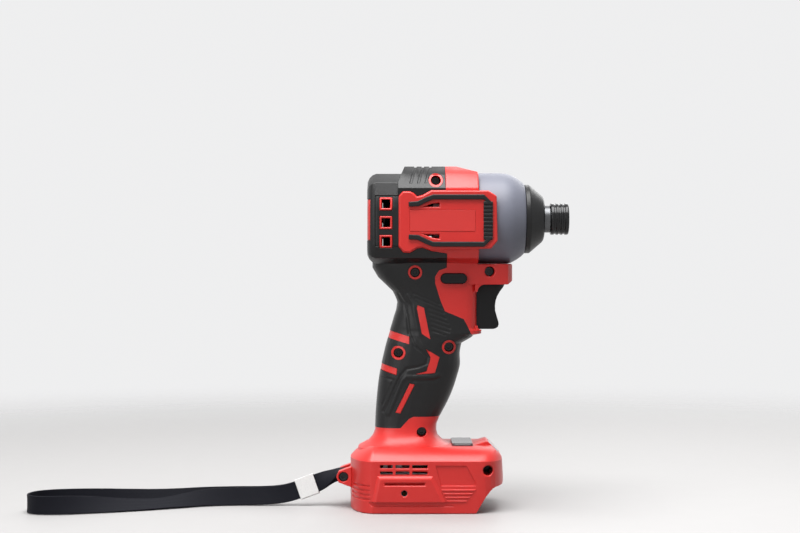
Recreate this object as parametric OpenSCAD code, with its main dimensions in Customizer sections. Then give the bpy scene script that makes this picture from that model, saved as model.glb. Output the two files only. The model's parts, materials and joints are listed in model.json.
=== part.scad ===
// Cordless impact screwdriver without its battery, with a wrist strap.
// Lengths are in millimetres. +X points out of the nose, +Z up, and the tool stands on Z = 0.
// Shapes are drawn with X = 0 over the middle of the foot and then moved so that the tool is centred.

/* [Head] */
// Height of the drive axis above the foot
axis_z = 177.5; // [172:0.5:184]
// Rear end of the motor housing
rear_x = -27.3; // [-30:0.1:-26]
// Front edge of the motor housing
head_front_x = 40.3; // [39.5:0.1:41]
// Wall of the motor housing above and below its bore
head_wall_z = 3.1; // [2.9:0.1:4]
// Wall of the motor housing beside its bore
head_wall_y = 4.1; // [3.6:0.1:5]
// Height of the hump above the motor housing
hump_rise = 4.4; // [3.6:0.1:6]
// Thickness of the soft rubber skin
skin_t = 1.2; // [0.8:0.1:1.5]
// Wall of the grip under the skin
grip_wall = 2.4; // [1.8:0.1:3]
// Height of the side panel above the motor housing
panel_rise = 1.8; // [1.6:0.1:3]
// Height of the rubber trim above the side panel
trim_h = 1.5; // [0.8:0.1:2.5]
// Width of one cooling vent
vent_w = 5.2; // [4:0.1:6]
// Height of one cooling vent
vent_h = 5.4; // [4:0.1:6]
// Spacing of the cooling vents
vent_pitch = 11.4; // [10:0.1:12]

/* [Grip and trigger] */
// Half width of the grip at the palm
grip_hw = 18.2; // [17.4:0.1:20]
// Front of the switch housing, where the trigger comes out
switch_front_x = 40; // [39:0.1:42]
// Front of the block under the hammer case
block_front_x = 61.6; // [58:0.1:64]
// Half width of the block under the hammer case
block_hw = 17; // [16:0.1:19]
// Half width of the switch
switch_hw = 10.5; // [9:0.1:10.8]
// Half width of the trigger
trigger_hw = 11; // [9:0.1:11.5]
// Travel of the trigger
trigger_travel = 7; // [4:0.5:7]
// Length of the direction lever along the housing
lever_len = 15.6; // [12:0.1:16]
// Height of the direction lever
lever_h = 5.8; // [4.5:0.1:6]
// Travel of the direction lever to each side of its lock position
lever_travel = 3; // [2:0.5:3.5]

/* [Foot] */
// Rear end of the foot
foot_rear_x = -38; // [-40:0.1:-36]
// Front end of the foot
foot_front_x = 56; // [54:0.1:58]
// Half width of the foot
foot_hw = 35; // [34:0.1:38]
// Height of the rim round the foot
rim_z = 31.3; // [30:0.1:33]
// Height of the flat top of the foot
deck_z = 38.8; // [38:0.1:40]
// Wall of the foot
foot_wall = 3.5; // [3:0.1:4]
// Height of the battery bay
bay_h = 15; // [14:0.1:16]
// Width of each battery rail
rail_w = 6.5; // [4:0.1:8]
// Thickness of each battery rail
rail_t = 5; // [3.5:0.1:5.5]
// Radius of the strap lug
lug_r = 4.5; // [4:0.1:5.5]
// Total width of the strap lug
lug_w = 26; // [24:0.5:30]
// Gap in the strap lug
lug_gap = 13; // [12.5:0.5:15]

/* [Hammer case and nose] */
// Inner radius of the hammer case, which the motor, the gears and the head follow
case_in_r = 22.25; // [20:0.05:25]
// Wall of the hammer case where the housing holds it
case_wall = 2.2; // [1.8:0.1:2.6]
// Thickness of the case cover
cover_t = 2.1; // [1.6:0.1:2.6]
// Length of the rubber nose bumper
bumper_len = 12.1; // [11:0.1:14]
// Bare length of the anvil between the bumper and the bit sleeve
nose_gap = 4.1; // [3:0.1:6]

/* [Anvil and bit sleeve] */
// Journal radius of the anvil
anvil_r = 8.4; // [8:0.1:8.6]
// Radius of the anvil under the bit sleeve
anvil_neck_r = 6.2; // [6:0.05:6.4]
// Width across flats of the bit socket
hex_af = 6.4; // [6.35:0.01:6.5]
// Depth of the bit socket
hex_depth = 25; // [20:0.5:27]
// Radius of the bit sleeve
sleeve_r = 9.75; // [9.5:0.05:10.2]
// Length of the bit sleeve
sleeve_len = 11.1; // [10.8:0.1:11.8]
// Travel of the bit sleeve
sleeve_travel = 4; // [2.5:0.5:4]
// Radius of the bit balls
bit_ball_r = 1.75; // [1.6:0.05:1.8]

/* [Gears and impact] */
// Width of the planet gears
planet_w = 6; // [5:0.1:6]
// Retreat of the hammer when it strikes
hammer_travel = 7; // [4:0.5:7]
// Radius of the spindle shaft
spindle_r = 8; // [7.8:0.05:8.2]
// Radius of the cam balls
cam_ball_r = 2.6; // [2.4:0.05:2.7]

/* [Motor] */
// Length of the lamination stack
stack_len = 15; // [13:0.1:15.2]
// Radius of the rotor
rotor_r = 11.2; // [10.5:0.1:11.4]
// Radius of the rotor shaft in its bearings
shaft_r = 2.5; // [2.3:0.05:2.6]
// Number of fan blades
fan_blades = 11; // [9:1:13]
// Outer radius of the rotor bearings
bearing_r = 8; // [7.5:0.1:8.2]

/* [Screws and strap] */
// Radius of the screw holes in the right half
screw_hole_r = 3; // [2.9:0.05:3.2]
// Radius of the screw heads
screw_head_r = 2.7; // [2.4:0.05:2.8]
// Radius of the screw shanks
screw_r = 1.4; // [1.2:0.05:1.5]
// Radius of the belt hook thread
hook_r = 1.65; // [1.6:0.05:2]
// Width of the wrist strap
strap_w = 11; // [9:0.5:11.5]
// Thickness of the wrist strap
strap_t = 1; // [0.8:0.1:1.1]

/* [Hidden] */
$fn = 48;
// Fits: seated parts, running parts and free clearance
seat = 0.02;
run = 0.05;
free = 0.35;
// Sections round the drive axis, from the hammer case outwards
bore_r = case_in_r + case_wall + run;
seat_r = bore_r - run;
head_hh = bore_r + head_wall_z;
head_hw = bore_r + head_wall_y;
head_edge_r = bore_r - 3.5;
head_low_r = bore_r - 13.5;
hump_h = head_hh + hump_rise;
panel_y = head_hw + panel_rise;
cover_r = head_hh + 0.7;
case_r = cover_r - cover_t - seat;
bumper_r = cover_r - 7.1;
// Sections round the drive axis, from the hammer case inwards
hammer_r = case_in_r - 1.25;
spring_pocket_r = hammer_r - 4;
strike_r = hammer_r - 3.6;
gear_m = (case_in_r - 2.75) / 30;
stator_in_r = seat_r - 3.85;
fan_r = bore_r - 4;
bush_r = anvil_r + 2.6;
nose_r = bush_r + 2.6;
trim_z = axis_z - 1.8;
vent_x = rear_x + 11.4;
vent_z = axis_z - 3;
split_x = head_front_x - 20;
// Motor stations along the axis
rear_in_x = rear_x + 3.9;
fan_x0 = rear_in_x + 5.6;
board_x0 = fan_x0 + 5.2;
stack_x0 = board_x0 + 4.3;
stack_x1 = stack_x0 + stack_len;
coil_over = 2.2;
// Gear stations along the axis
plate_x0 = stack_x1 + 5.8;
plate_x1 = plate_x0 + 7.9;
case_x0 = plate_x1 + 0.2;
carrier_x0 = plate_x0 + 6.4;
disc_x0 = carrier_x0 + 4.3;
gap_x0 = disc_x0 + 1.7;
gap_x1 = gap_x0 + planet_w + 0.6;
flange_x1 = gap_x1 + 4;
hammer_x0 = flange_x1 + hammer_travel + 1.5;
hammer_x1 = hammer_x0 + 16;
lug_x0 = hammer_x1 + 0.4;
lug_x1 = lug_x0 + 5.6;
wall_x = lug_x1 + 0.5;
ball_x = hammer_x0 + 9;
sun_teeth = 12;
planet_teeth = 24;
ring_teeth = sun_teeth + 2 * planet_teeth;
planet_a = gear_m * (sun_teeth + planet_teeth) / 2;
disc_r = gear_m * ring_teeth / 2 - 1.5;
sun_tip_r = gear_m * (sun_teeth / 2 + 0.9);
hub_r = sun_tip_r + 5.5;
carrier_r = hub_r + 3.5;
// Nose and bit retention stations along the axis
cover_front_x = wall_x + 2.9;
bumper_front_x = cover_front_x + bumper_len;
sleeve_rear_x = bumper_front_x + nose_gap;
sleeve_front_x = sleeve_rear_x + sleeve_len;
bit_ball_x = sleeve_rear_x + 2.9;
sleeve_ring_x = sleeve_front_x - 1.8;
hex_x0 = sleeve_front_x - 0.5 - hex_depth;
// The tool is centred between the lug and the end of the sleeve
lug_x = foot_rear_x - 4;
lug_z = 19.3;
mid_x = (sleeve_front_x + lug_x - lug_r) / 2;
// Housing screws: X, Z, outer end of the boss, seat of the head, radius of the boss
screws = [
  [14.3, axis_z + 22.9, 19, 6, 4.4],
  [1.8, axis_z - 33, 15, 6, 4.4],
  [47.3, axis_z - 32.4, 15, 6, 4.2],
  [-8.4, 95.4, 14.5, 6, 4.4],
  [22.5, 98.9, 11.5, 6, 4.4],
  [5.8, 47.1, 14, 6, 4.4],
  [45.3, 25.8, 26, 6, 4.6],
  [lug_x, lug_z, lug_w / 2 - 3.5, lug_w / 2 - 4.2, 2.4]
];
ringed = [0, 1, 3, 4];
// Grip stations: Z, back edge, front edge, share of the palm width, squareness of the front
grip_rings = [
  [34, -34, 28, 1.56, 2.6],
  [37.3, -33.2, 26, 1.5, 2.6],
  [39, -30.2, 22.5, 1.3, 2.6],
  [40.8, -26.9, 19.4, 1.14, 2.6],
  [44.2, -24.2, 15.9, 1, 2.6],
  [47.3, -22.9, 15.1, 0.95, 2.6],
  [51, -22.8, 15.2, 0.93, 2.6],
  [56, -22.6, 17.3, 0.93, 2.5],
  [64, -22.1, 21.6, 0.95, 2.5],
  [71.8, -21.4, 25.1, 0.97, 2.5],
  [80, -20.4, 27.8, 0.99, 2.5],
  [88, -19, 29.8, 1, 2.5],
  [95, -17.4, 29.6, 1, 2.5],
  [101, -15.9, 30.7, 0.99, 2.8],
  [104.5, -14.9, switch_front_x - 3.4, 0.97, 3.6],
  [106.1, -14.5, switch_front_x - 1.8, 0.97, 4.2],
  [107, -14.2, switch_front_x + 2.8, 0.97, 4.6],
  [108.8, -13.7, switch_front_x + 2.7, 0.96, 5],
  [110.2, -13.3, switch_front_x + 0.3, 0.96, 5],
  [118, -11, switch_front_x, 0.95, 5.5],
  [126, -9.1, switch_front_x, 0.95, 5.5],
  [axis_z - 44.5, -12, switch_front_x, 0.97, 5.5],
  [axis_z - 36, -20.9, switch_front_x, 1, 5.5],
  [axis_z - 30, -24.5, switch_front_x, 1.02, 5],
  [axis_z - 22, -24.5, switch_front_x, 1.04, 5]
];
// Outline of the soft skin seen from the side
skin_outline = [
  [rear_x - 9, axis_z + 45], [split_x, axis_z + 45], [split_x, axis_z + 16.7],
  [11.5, axis_z + 16.7], [6.1, axis_z + 13.7], [2.9, axis_z + 12.9], [0.8, axis_z + 15.1],
  [-1.4, axis_z + 16], [-5.7, axis_z + 16], [-8.2, axis_z + 13.2], [-8.2, axis_z - 17.5],
  [-5.4, axis_z - 21], [-1.4, axis_z - 21.2], [0.8, axis_z - 19.9], [2.9, axis_z - 18.5],
  [6.1, axis_z - 18], [11.5, axis_z - 20], [split_x + 0.7, axis_z - 21.5], [21, axis_z - 30.2],
  [16.4, axis_z - 31.8], [14, axis_z - 35.5], [14, axis_z - 39.5], [17.5, 126.8],
  [20, 120.8], [31.5, 116], [34, 111.4], [36, 106.9],
  [37.4, 105.6], [46, 105.2], [46, 55.7], [0.8, 56.5], [-2, 55.1], [-7.1, 49.5], [-45, 49.2],
  [-45, axis_z - 27]
];
// Red fields that show through the skin on the grip
grip_fields = [
  [[3.3, 124.6], [7.2, 122.9], [10.6, 105.9], [11.1, 103.7], [5.9, 107.1], [2.9, 122.5]],
  [[-30, 113.7], [-1.8, 105.4], [-1.8, 100.7], [-30, 108.8]],
  [[-30, 92.1], [-9, 85.8], [-9.4, 81.6], [-30, 87.8]],
  [[7.8, 98.4], [16.7, 92.8], [13.9, 83], [0.8, 82.1], [8.8, 84.4], [11.1, 92.8]],
  [[-1.5, 77], [1.8, 76.3], [-7.1, 58.3], [-10.4, 58.8]]
];
// Outline of the raised red side panel
panel_outline = [
  [-7.8, axis_z + 13], [-5.5, axis_z + 15.6], [-1.6, axis_z + 15.6], [0.5, axis_z + 14.7],
  [2.7, axis_z + 12.5], [6.3, axis_z + 13.3], [11.6, axis_z + 16.3], [45.9, axis_z + 16.3],
  [50.8, axis_z + 13], [51.3, axis_z - 14], [47.5, axis_z - 18.6], [11.4, axis_z - 19.6],
  [6, axis_z - 17.6], [2.7, axis_z - 18.1], [0.6, axis_z - 19.5], [-1.5, axis_z - 20.8],
  [-5.2, axis_z - 20.6], [-7.8, axis_z - 17.3]
];
// Middle line of the upper half of the U-shaped trim, from its left end to the middle of the bar
trim_line = [[-2.2, 9.8], [3.4, 10.1], [8.2, 12.5], [12.5, 14.2], [43, 14.2], [45.6, 11.6]];
trim_w = 3;
bar_w = 5.6;
// Strap route: X, Y, Z, and the turn of its width from upright
strap_route = [
  [-39, 0, 20.2, 90], [-40, 0, 21.7, 90], [-42, 0, 22.4, 90], [-45.5, 0, 21.6, 80],
  [-52, -0.9, 17.8, 45], [-59, -0.8, 14, 10], [-65, -0.8, 11.8, 10], [-71, -0.8, 9.6, 10],
  [-80, -0.6, 7.2, 12], [-92, -0.2, 6, 18], [-110, 0, 5.6, 20], [-128, -3, 5.2, 32],
  [-145, -10, 3.8, 58], [-158, -16, 3.2, 65], [-175, -24, 3.9, 55], [-195, -33, 5.3, 30],
  [-212, -39, 5.8, 10], [-223, -39, 5.8, 0], [-230, -33, 5.8, 0], [-231.5, -24, 5.8, 0],
  [-227, -14, 5.8, 0], [-215, -8, 5.8, 4], [-196, -5.5, 5.8, 10], [-176, -5, 5.6, 18],
  [-160, -3.5, 5.4, 25], [-145, 0, 5.4, 28], [-128, 4.2, 5.6, 24], [-110, 6, 5.7, 20],
  [-92, 4.6, 6, 18], [-80, 2.2, 7.2, 12], [-71, 0.8, 9.6, 10], [-65, 0.8, 11.8, 10],
  [-59, 0.8, 14, 10], [-52, 0.9, 16.4, 45], [-45.5, 0, 17, 80], [-42, 0, 16.2, 90],
  [-40, 0, 16.9, 90], [-39, 0, 18.4, 90]
];
// Motor leads: route of the middle lead, X and Z
lead_route = [
  [-14, bay_h + 8 + seat], [-13, 40], [-12, 56], [-7, 74], [-1.8, 88], [-1.5, 101], [-2.4, 112], [-3, 124],
  [-5, axis_z - 41.5], [-9.5, axis_z - 33.5], [board_x0 + 0.7, axis_z - 27 - seat]
];

function sp(v, e) = sign(v) * pow(abs(v), e);
// Half of a rounded section on the right side, from its back to its front
function half_ring(x0, x1, hw, z, e, n) =
  [for (i = [0:n]) let (a = 180 + 180 * i / n, q = 2 / (a > 270 ? e : 2.6))
    [(x0 + x1) / 2 + (x1 - x0) / 2 * sp(cos(a), q), hw * sp(sin(a), q), z]];
// A half outline together with its mirror image
function both(r) = concat(r, [for (i = [len(r) - 2:-1:1])
  [for (j = [0:len(r[i]) - 1]) j == 1 ? -r[i][j] : r[i][j]]]);
// Half of a rectangle in Y and Z with eased upper corners r and lower corners q, from its top to its bottom
function half_box(hw, hh, r, q, n) = concat(
  [[0, hh]],
  [for (i = [0:n]) let (a = 90 + 90 * i / n) [-(hw - r) + r * cos(a), hh - r + r * sin(a)]],
  [for (i = [0:n]) let (a = 180 + 90 * i / n) [-(hw - q) + q * cos(a), -(hh - q) + q * sin(a)]],
  [[0, -hh]]);
// Right half of the outline of the foot, inset by d and at its drawn-in front by f
function foot_plan(d, f) = let (a = 15, b = 17, n = 8, e = is_undef(f) ? d : f) concat(
  [for (i = [0:n]) let (t = 180 + 90 * i / n)
    [foot_rear_x + a + (a - d) * cos(t), (foot_hw - d) * sin(t)]],
  [for (i = [0:n]) let (t = 270 + 90 * i / n)
    [foot_front_x - b + (b - e) * sp(cos(t), 2 / 2.6), (foot_hw - d) * sp(sin(t), 2 / 2.6)]]);
// Outline of a line of points widened to both sides
function unit(v) = v / norm(v);
function side_of(p, i) = let (
  a = p[max(i - 1, 0)], b = p[min(i + 1, len(p) - 1)], t = unit(b - a)) [-t[1], t[0]];
function widened(p, w) = concat(
  [for (i = [0:len(p) - 1]) p[i] + side_of(p, i) * w / 2],
  [for (i = [len(p) - 1:-1:0]) p[i] - side_of(p, i) * w / 2]);
function sector(r0, r1, a0, a1, n) = concat(
  [for (i = [0:n]) let (a = a0 + (a1 - a0) * i / n) [r1 * cos(a), r1 * sin(a)]],
  [for (i = [n:-1:0]) let (a = a0 + (a1 - a0) * i / n) [r0 * cos(a), r0 * sin(a)]]);
// Involute gear outline: teeth, module, tip and root radius, thinning of each flank
function inv_deg(rb, r) = let (c = acos(min(1, rb / r))) tan(c) * 180 / PI - c;
function gear_outline(z, m, tip, root, thin) = let (
  rp = z * m / 2, rb = rp * cos(20), half = 90 / z - thin / rp * 180 / PI + inv_deg(rb, rp),
  lo = max(rb, root), radii = [root, lo + (tip - lo) * 0.3, lo + (tip - lo) * 0.65, tip])
  [for (k = [0:z - 1], j = [0:7]) let (
    r = radii[j < 4 ? j : 7 - j], s = j < 4 ? -1 : 1, a = 360 / z * k + s * (half - inv_deg(rb, max(r,
      rb))))
    [r * cos(a), r * sin(a)]];

// Solid between rings that all have the same number of points
module loft(rings) {
  k = len(rings[0]);
  m = len(rings);
  polyhedron(
    points = [for (r = rings, p = r) p],
    faces = concat(
      [[for (i = [0:k - 1]) i]],
      [for (j = [0:m - 2], i = [0:k - 1]) [j * k + i, (j + 1) * k + i, (j + 1) * k + (i + 1) % k]],
      [for (j = [0:m - 2], i = [0:k - 1]) [j * k + i, (j + 1) * k + (i + 1) % k, j * k + (i + 1) % k]],
      [[for (i = [k - 1:-1:0]) (m - 1) * k + i]]));
}
// The finished tool stands with the middle of its length over X = 0
module centred() {
  translate([-mid_x, 0, 0]) children();
}
module side_prism(pts, y0, y1) {
  translate([0, y1, 0]) rotate([90, 0, 0]) linear_extrude(height = y1 - y0) polygon(pts);
}
module cross_prism(pts, x0, x1) {
  translate([x0, 0, 0]) rotate([90, 0, 90]) linear_extrude(height = x1 - x0) polygon(pts);
}
module plan_prism(pts, z0, z1) {
  translate([0, 0, z0]) linear_extrude(height = z1 - z0) polygon(pts);
}
module y_cyl(x, z, r, y0, y1) {
  translate([x, y1, z]) rotate([90, 0, 0]) cylinder(r = r, h = y1 - y0);
}
module x_cyl(r, x0, x1) {
  translate([x0, 0, axis_z]) rotate([0, 90, 0]) cylinder(r = r, h = x1 - x0);
}
// Turned part: points are X and radius
module turned(pts) {
  translate([0, 0, axis_z]) rotate([0, 90, 0]) rotate_extrude() polygon([for (p = pts) [p[1], p[0]]]);
}
// Outline in the plane across the axis, drawn from x0 to x1
module across(pts, x0, x1) {
  translate([0, 0, axis_z]) cross_prism(pts, x0, x1);
}
module block(x0, x1, y0, y1, z0, z1) {
  translate([x0, y0, z0]) cube([x1 - x0, y1 - y0, z1 - z0]);
}
// Coil of round wire along the axis direction
module coil(x0, x1, r, wire, turns, z, per, sides) {
  n = turns * per;
  loft([for (i = [0:n]) let (a = 360 * i / per, x = x0 + wire + (x1 - x0 - 2 * wire) * i / n)
    [for (j = [0:sides - 1]) let (b = -360 * j / sides)
      [x + wire * sin(b), (r + wire * cos(b)) * cos(a), z + (r + wire * cos(b)) * sin(a)]]]);
}

// Outer form of the head and the grip on the right side, inset by o
module head_form(o) {
  steps = [[0, 5.2], [1.2, 2.6], [3, 0.9], [5.2, 0]];
  rings = concat(
    [for (s = steps) [for (p = half_box(head_hw - o - s[1], head_hh - o - s[1],
      head_edge_r - o - s[1] * 0.6, head_low_r - o * 0.5 - s[1] * 0.6, 2))
      [rear_x + o + s[0], p[0], axis_z + p[1]]]],
    [[for (p = half_box(head_hw - o, head_hh - o, head_edge_r - o, head_low_r - o * 0.5, 2))
      [head_front_x, p[0], axis_z + p[1]]]]);
  loft(rings);
}
module grip_form(o) {
  loft([for (g = grip_rings) half_ring(g[1] + o, g[2] - o, grip_hw * g[3] - o, g[0], g[4], 14)]);
}
module hump_form(o) {
  side_y = head_hw - 2 - o;
  intersection() {
    across([[0, 8], [0, hump_h - o], [-9, hump_h - o], [-19 + o * 0.6, hump_h - 5.5 - o * 0.8],
      [-side_y, hump_h - 14], [-side_y, 8]], -10, head_front_x);
    side_prism([[-8.6 + o, axis_z + 6], [-8.6 + o, axis_z + hump_h - 9.9], [-4.2 + o, axis_z + hump_h + 1],
      [split_x + 6.5, axis_z + hump_h + 1], [split_x + 6.5, axis_z + hump_h - o],
      [head_front_x, axis_z + cover_r - o], [head_front_x, axis_z + 6]], -40, 0);
  }
}
module body_form(o) {
  head_form(o);
  grip_form(o);
  hump_form(o);
}
module skin_zone(y1) {
  side_prism(skin_outline, -60, y1);
}
module field_prisms() {
  for (f = grip_fields) side_prism(f, -60, 0);
}
// Windows in the skin: screw collars and vent frames
module collar_prisms(c) {
  for (i = ringed) y_cyl(screws[i][0], screws[i][1], 4.3 + c, -60, 0);
  for (k = [-1:1]) block(vent_x - vent_w / 2 - 1.2 - c, vent_x + vent_w / 2 + 1.2 + c, -60, -12,
    vent_z + k * vent_pitch - vent_h / 2 - 1.2 - c, vent_z + k * vent_pitch + vent_h / 2 + 1.2 + c);
  block(rear_x - 5, rear_x + 1.9 + c, -60, 1, axis_z - 13.5 - c, axis_z + 11.2 + c);
}
// Shallow relief in the skin of the head: the band round the vents and three slanted grooves
module relief_prisms() {
  block(rear_x + 4.8, -8.2, -60, -18, axis_z - 17.4, axis_z + 13.6);
  for (k = [0:2]) side_prism([[-1.6 + k * 4.6, axis_z + hump_h - 11], [-0.2 + k * 4.6, axis_z + hump_h - 11],
    [3.4 + k * 4.6, axis_z + hump_h + 2], [2 + k * 4.6, axis_z + hump_h + 2]], -60, 1);
}
module panel_form() {
  side_prism(panel_outline, -panel_y, -18);
}
// Block between the trigger and the hammer case
module block_form() {
  intersection() {
    side_prism([[8, axis_z - 40.4], [block_front_x - 3, axis_z - 40.4], [block_front_x, axis_z - 38],
      [block_front_x, axis_z - cover_r + 0.55], [head_front_x, axis_z - cover_r + 0.55],
      [head_front_x, axis_z - 22], [8, axis_z - 22]], -block_hw, 0);
    plan_prism([[8, 0.5], [8, -block_hw], [block_front_x - 8, -block_hw], [block_front_x - 3, -block_hw + 2],
      [block_front_x - 0.6, -block_hw + 5.5], [block_front_x, -block_hw + 9], [block_front_x, 0.5]],
      axis_z - 50, axis_z - 10);
  }
}
// Rounded corners of the window beside the trigger
module window_corners() {
  z0 = trigger_z0 - free;
  z1 = axis_z - 40.4;
  difference() {
    block(switch_front_x - 1.5, switch_front_x + 4.5, -block_hw + 0.4, -trigger_hw - free,
      z1 - 4.5, z1 + 0.5);
    y_cyl(switch_front_x + 4.5, z1 - 4.5, 4.5, -40, 0);
  }
  difference() {
    block(switch_front_x - 1.5, switch_front_x + 2.4, -14.4, -trigger_hw - free, z0 - 0.6, z0 + 2.4);
    y_cyl(switch_front_x + 2.4, z0 + 2.4, 2.4, -40, 0);
  }
}
// Foot: walls, sloping top, lamp hump and strap lug
module foot_form() {
  intersection() {
    union() {
      plan_prism(foot_plan(0), 0, rim_z);
      loft([
        [for (p = foot_plan(0)) [p[0], p[1], rim_z - 0.5]],
        [for (p = foot_plan(0.8, 0.3)) [p[0], p[1], rim_z + 0.8]],
        [for (p = foot_plan(3.4, 1)) [p[0], p[1], rim_z + 3.4]],
        [for (p = foot_plan(6.4, 2)) [p[0], p[1], rim_z + 5.6]],
        [for (p = foot_plan(11, 4)) [p[0], p[1], deck_z]]]);
      plan_prism([[38, 0], [38, -13], [50, -13], [foot_front_x - 1, -10], [foot_front_x - 0.5, 0]],
        20, deck_z + 2.3);
    }
    side_prism([[foot_rear_x - 1, 0], [38, 0], [44, 10], [47, 13.6], [50, 15.6], [foot_front_x - 1, 16],
      [foot_front_x, 17.5], [54.4, 32.7], [46.4, deck_z + 2.3], [45, deck_z + 2.3], [38, deck_z],
      [38, 60], [foot_rear_x - 1, 60]], -60, 0);
  }
  side_prism([[foot_rear_x + 1, lug_z - 6.4], [foot_rear_x + 1, lug_z + 6.2], [lug_x, lug_z + lug_r],
    [lug_x - 3, lug_z + lug_r * 0.75], [lug_x - lug_r, lug_z], [lug_x - 3, lug_z - lug_r * 0.75],
    [lug_x, lug_z - lug_r]], -lug_w / 2, -lug_gap / 2);
}
module pad_form() {
  hull() {
    side_prism([[-20.9, 22.6], [12.4, 22.6], [20.4, 6.3], [-24.2, 6.3]], -foot_hw - 0.1, -foot_hw + 1);
    side_prism([[-19.6, 21.3], [11, 21.3], [17.6, 7.3], [-22.2, 7.3]], -foot_hw - 1.6, -foot_hw + 1);
  }
  for (k = [0:3]) side_prism([[17.4 + k * 1.1, 14.7 - k * 2.2], [38 - k * 1.7, 14.7 - k * 2.2],
    [37.2 - k * 1.7, 13.7 - k * 2.2], [17.9 + k * 1.1, 13.7 - k * 2.2]], -foot_hw - 0.6, -foot_hw + 1);
}
// Everything hollow inside the right half
module hollow() {
  x_cyl(bore_r, rear_in_x, head_front_x + 1);
  w = skin_t + grip_wall;
  loft([for (g = grip_rings) if (g[0] > 40)
    both(half_ring(g[1] + w, g[2] - w, grip_hw * g[3] - w, g[0] - (g[0] < 60 ? 6 : 0), g[4], 14))]);
  loft([
    [for (p = both(foot_plan(foot_wall))) [p[0], p[1], bay_h + 2]],
    [for (p = both(foot_plan(foot_wall))) [p[0], p[1], rim_z - 1.6]],
    [for (p = both(foot_plan(14.5))) [p[0], p[1], deck_z - 2.8]]]);
  plan_prism(both(foot_plan(foot_wall)), rail_t, bay_h);
  plan_prism(both(foot_plan(foot_wall + rail_w)), -1, rail_t + 1);
  side_prism([[foot_front_x - 12, rail_t], [foot_front_x + 5, rail_t], [foot_front_x + 5, bay_h],
    [foot_front_x - 12, bay_h]], -foot_hw + foot_wall, 1);
}
module seats() {
  // Rear bearing ring and ribs that hold the switch
  intersection() {
    turned([[rear_in_x - 1, bearing_r + seat], [rear_in_x - 1, bearing_r + 2.6],
      [rear_in_x + 4.4, bearing_r + 2.6],
      [rear_in_x + 4.4, bearing_r + seat]]);
    block(rear_in_x - 2, rear_in_x + 6, -30, 0, axis_z - 30, axis_z + 30);
  }
  intersection() {
    grip_form(skin_t + 0.5);
    union() {
      block(5, 7, -30, -switch_hw - seat, 110, 134);
      block(19, 21, -30, -switch_hw - seat, 110, 134);
    }
  }
}
module openings() {
  // Case cover, trigger, direction lever, panel, lamp and side slots
  x_cyl(cover_r + free, head_front_x + 0.01, head_front_x + 40);
  block(trigger_back - trigger_travel - 1, switch_front_x + 20, -trigger_hw - free, 1,
    trigger_z0 - free, trigger_z1 + free);
  lever_bar(lever_len + 2 * free, lever_h + 2 * free, -40, -6);
  panel_plate(seat, 1);
  lamp_prism(-3.4, 1, 9 + seat, seat);
  for (k = [-1, 1]) side_prism([[7, trim_z + k * 8.3], [16.3, trim_z + k * 8.3], [16.3, trim_z + k * 10.9],
    [12, trim_z + k * 10.3]], -40, -18);
  for (k = [-1:1]) block(vent_x - vent_w / 2, vent_x + vent_w / 2, -40, -12,
    vent_z + k * vent_pitch - vent_h / 2, vent_z + k * vent_pitch + vent_h / 2);
  // Label field, foot vents, belt hook slot and hole, finger grooves, lug gap
  side_prism(label_outline(0.1), -panel_y - 1, -panel_y + 0.4);
  for (z = [23.4, 27.3], s = [[-19.3, 7.6], [-10.1, 8.4], [-0.1, 9.2]])
    block(s[0], s[0] + s[1], -foot_hw - 2, -foot_hw + 6, z, z + 2);
  block(-16.4, 7.5, -foot_hw - 3, -foot_hw + 1.5, 17.2, 18.6);
  y_cyl(-4.8, 12.4, 1.85, -foot_hw - 3, -foot_hw);
  y_cyl(-4.8, 12.4, 3.2, -foot_hw - 0.4, -foot_hw + 6);
  for (z = [8, 10.6, 13.2, 15.8]) difference() {
    plan_prism(foot_plan(-2), z, z + 1.2);
    plan_prism(foot_plan(0.7), z - 1, z + 3);
    block(-25.5, 80, -60, 1, z - 2, z + 4);
    block(-60, 0, -lug_w / 2 - 2, 1, z - 2, z + 4);
  }
  side_prism([[14, 28.7], [32.6, 28.7], [37.6, 19.4], [38, 16.6], [17.3, 16.6]],
    -foot_hw - 2, -foot_hw + 0.8);
  side_prism([[-28, 7.2], [21, 7.2], [25, 4.4], [-24, 4.4]], -foot_hw - 3, -foot_hw + 0.9);
}
module screw_bosses() {
  for (s = screws) y_cyl(s[0], s[1], s[4], -s[2], 0);
}
module screw_holes(left) {
  for (s = screws) {
    if (left) {
      y_cyl(s[0], s[1], screw_r + run, -10.5, 1);
    } else {
      y_cyl(s[0], s[1], screw_r + 0.2, -60, 1);
      y_cyl(s[0], s[1], screw_hole_r, -60, -s[3]);
    }
  }
}
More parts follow.
